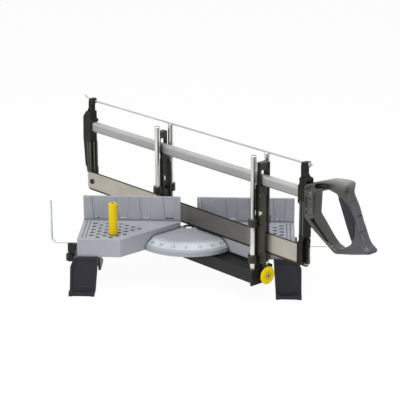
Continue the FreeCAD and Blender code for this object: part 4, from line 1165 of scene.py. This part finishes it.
def make_floor():
    bpy.ops.mesh.primitive_plane_add(size=FLOOR_SIZE, location=(0, 0, 0))
    floor = bpy.context.object
    floor.name = "floor"
    r = Recipe("pale_floor", rough=0.9, level=0.1)
    r.colour(r.ramp(r.noise(2, 2), [(0.3, (0.93, 0.93, 0.93, 1)), (0.7, (0.95, 0.95, 0.95, 1))]))
    glow = r.add("ShaderNodeEmission")
    share = r.add("ShaderNodeMath", operation="MULTIPLY")
    share.inputs[1].default_value = FLOOR_WHITE
    blend = r.add("ShaderNodeMixShader")
    r.link(seen_white(r.tree), share.inputs[0])
    r.link(share.outputs["Value"], blend.inputs["Fac"])
    r.link(r.shader.outputs["BSDF"], blend.inputs[1])
    r.link(glow.outputs["Emission"], blend.inputs[2])
    r.link(blend.outputs["Shader"], r.tree.nodes["Material Output"].inputs["Surface"])
    floor.data.materials.append(r.mat)


def make_card(name, at, size, turn):
    """Dark card lying beside the saw, seen only in reflections, that draws streaks in the chrome."""
    bpy.ops.mesh.primitive_plane_add(size=1, location=at, rotation=(0, 0, turn))
    card = bpy.context.object
    card.name = name
    card.scale = (*size, 1)
    r = Recipe(name, rough=0.9, level=0.0)
    r.colour(r.ramp(r.noise(6, 2), [(0.3, screen(20, 20, 20)), (0.7, screen(34, 34, 34))]))
    card.data.materials.append(r.mat)
    for kind in ("camera", "diffuse", "transmission", "volume_scatter", "shadow"):
        setattr(card, "visible_" + kind, False)


def make_world():
    world = bpy.data.worlds.new("studio")
    bpy.context.scene.world = world
    world.use_nodes = True
    tree = world.node_tree
    for node in list(tree.nodes):
        tree.nodes.remove(node)
    out = tree.nodes.new("ShaderNodeOutputWorld")
    room = tree.nodes.new("ShaderNodeBackground")
    room.inputs["Color"].default_value = WHITE
    room.inputs["Strength"].default_value = ROOM_LIGHT
    white = tree.nodes.new("ShaderNodeBackground")
    white.inputs["Color"].default_value = WHITE
    white.inputs["Strength"].default_value = 1.0
    mix = tree.nodes.new("ShaderNodeMixShader")
    tree.links.new(seen_white(tree), mix.inputs["Fac"])
    tree.links.new(room.outputs["Background"], mix.inputs[1])
    tree.links.new(white.outputs["Background"], mix.inputs[2])
    tree.links.new(mix.outputs["Shader"], out.inputs["Surface"])


def make_lamp(name, at, aim, size, power):
    data = bpy.data.lights.new(name, "AREA")
    data.shape = "RECTANGLE"
    data.size, data.size_y = size
    data.energy = power
    lamp = bpy.data.objects.new(name, data)
    bpy.context.scene.collection.objects.link(lamp)
    lamp.location = at
    lamp.rotation_mode = "QUATERNION"
    lamp.rotation_quaternion = (Vector(aim) - Vector(at)).to_track_quat("-Z", "Y")


make_camera()
paint_nodes()
make_blade()
make_handle()
for screws, direction in SCREW_AXES.items():
    dress_screws(screws, direction)
for post in ("front_post_right", "front_post_left", "rear_post_right", "rear_post_left"):
    make_post(post)
make_knob()
make_peg()
for thumb in ("right_clip_knob", "left_clip_knob"):
    make_thumb(thumb)
make_tube()
make_scale()
for end in RIBS:
    make_ribs(end)
make_heel_foot()
make_bolt_rings()
make_guide_details()
make_floor()
for card, placing in CARDS.items():
    make_card(card, *placing)
make_world()
for lamp, placing in LAMPS.items():
    make_lamp(lamp, *placing)
bpy.context.scene.view_settings.view_transform = "Standard"
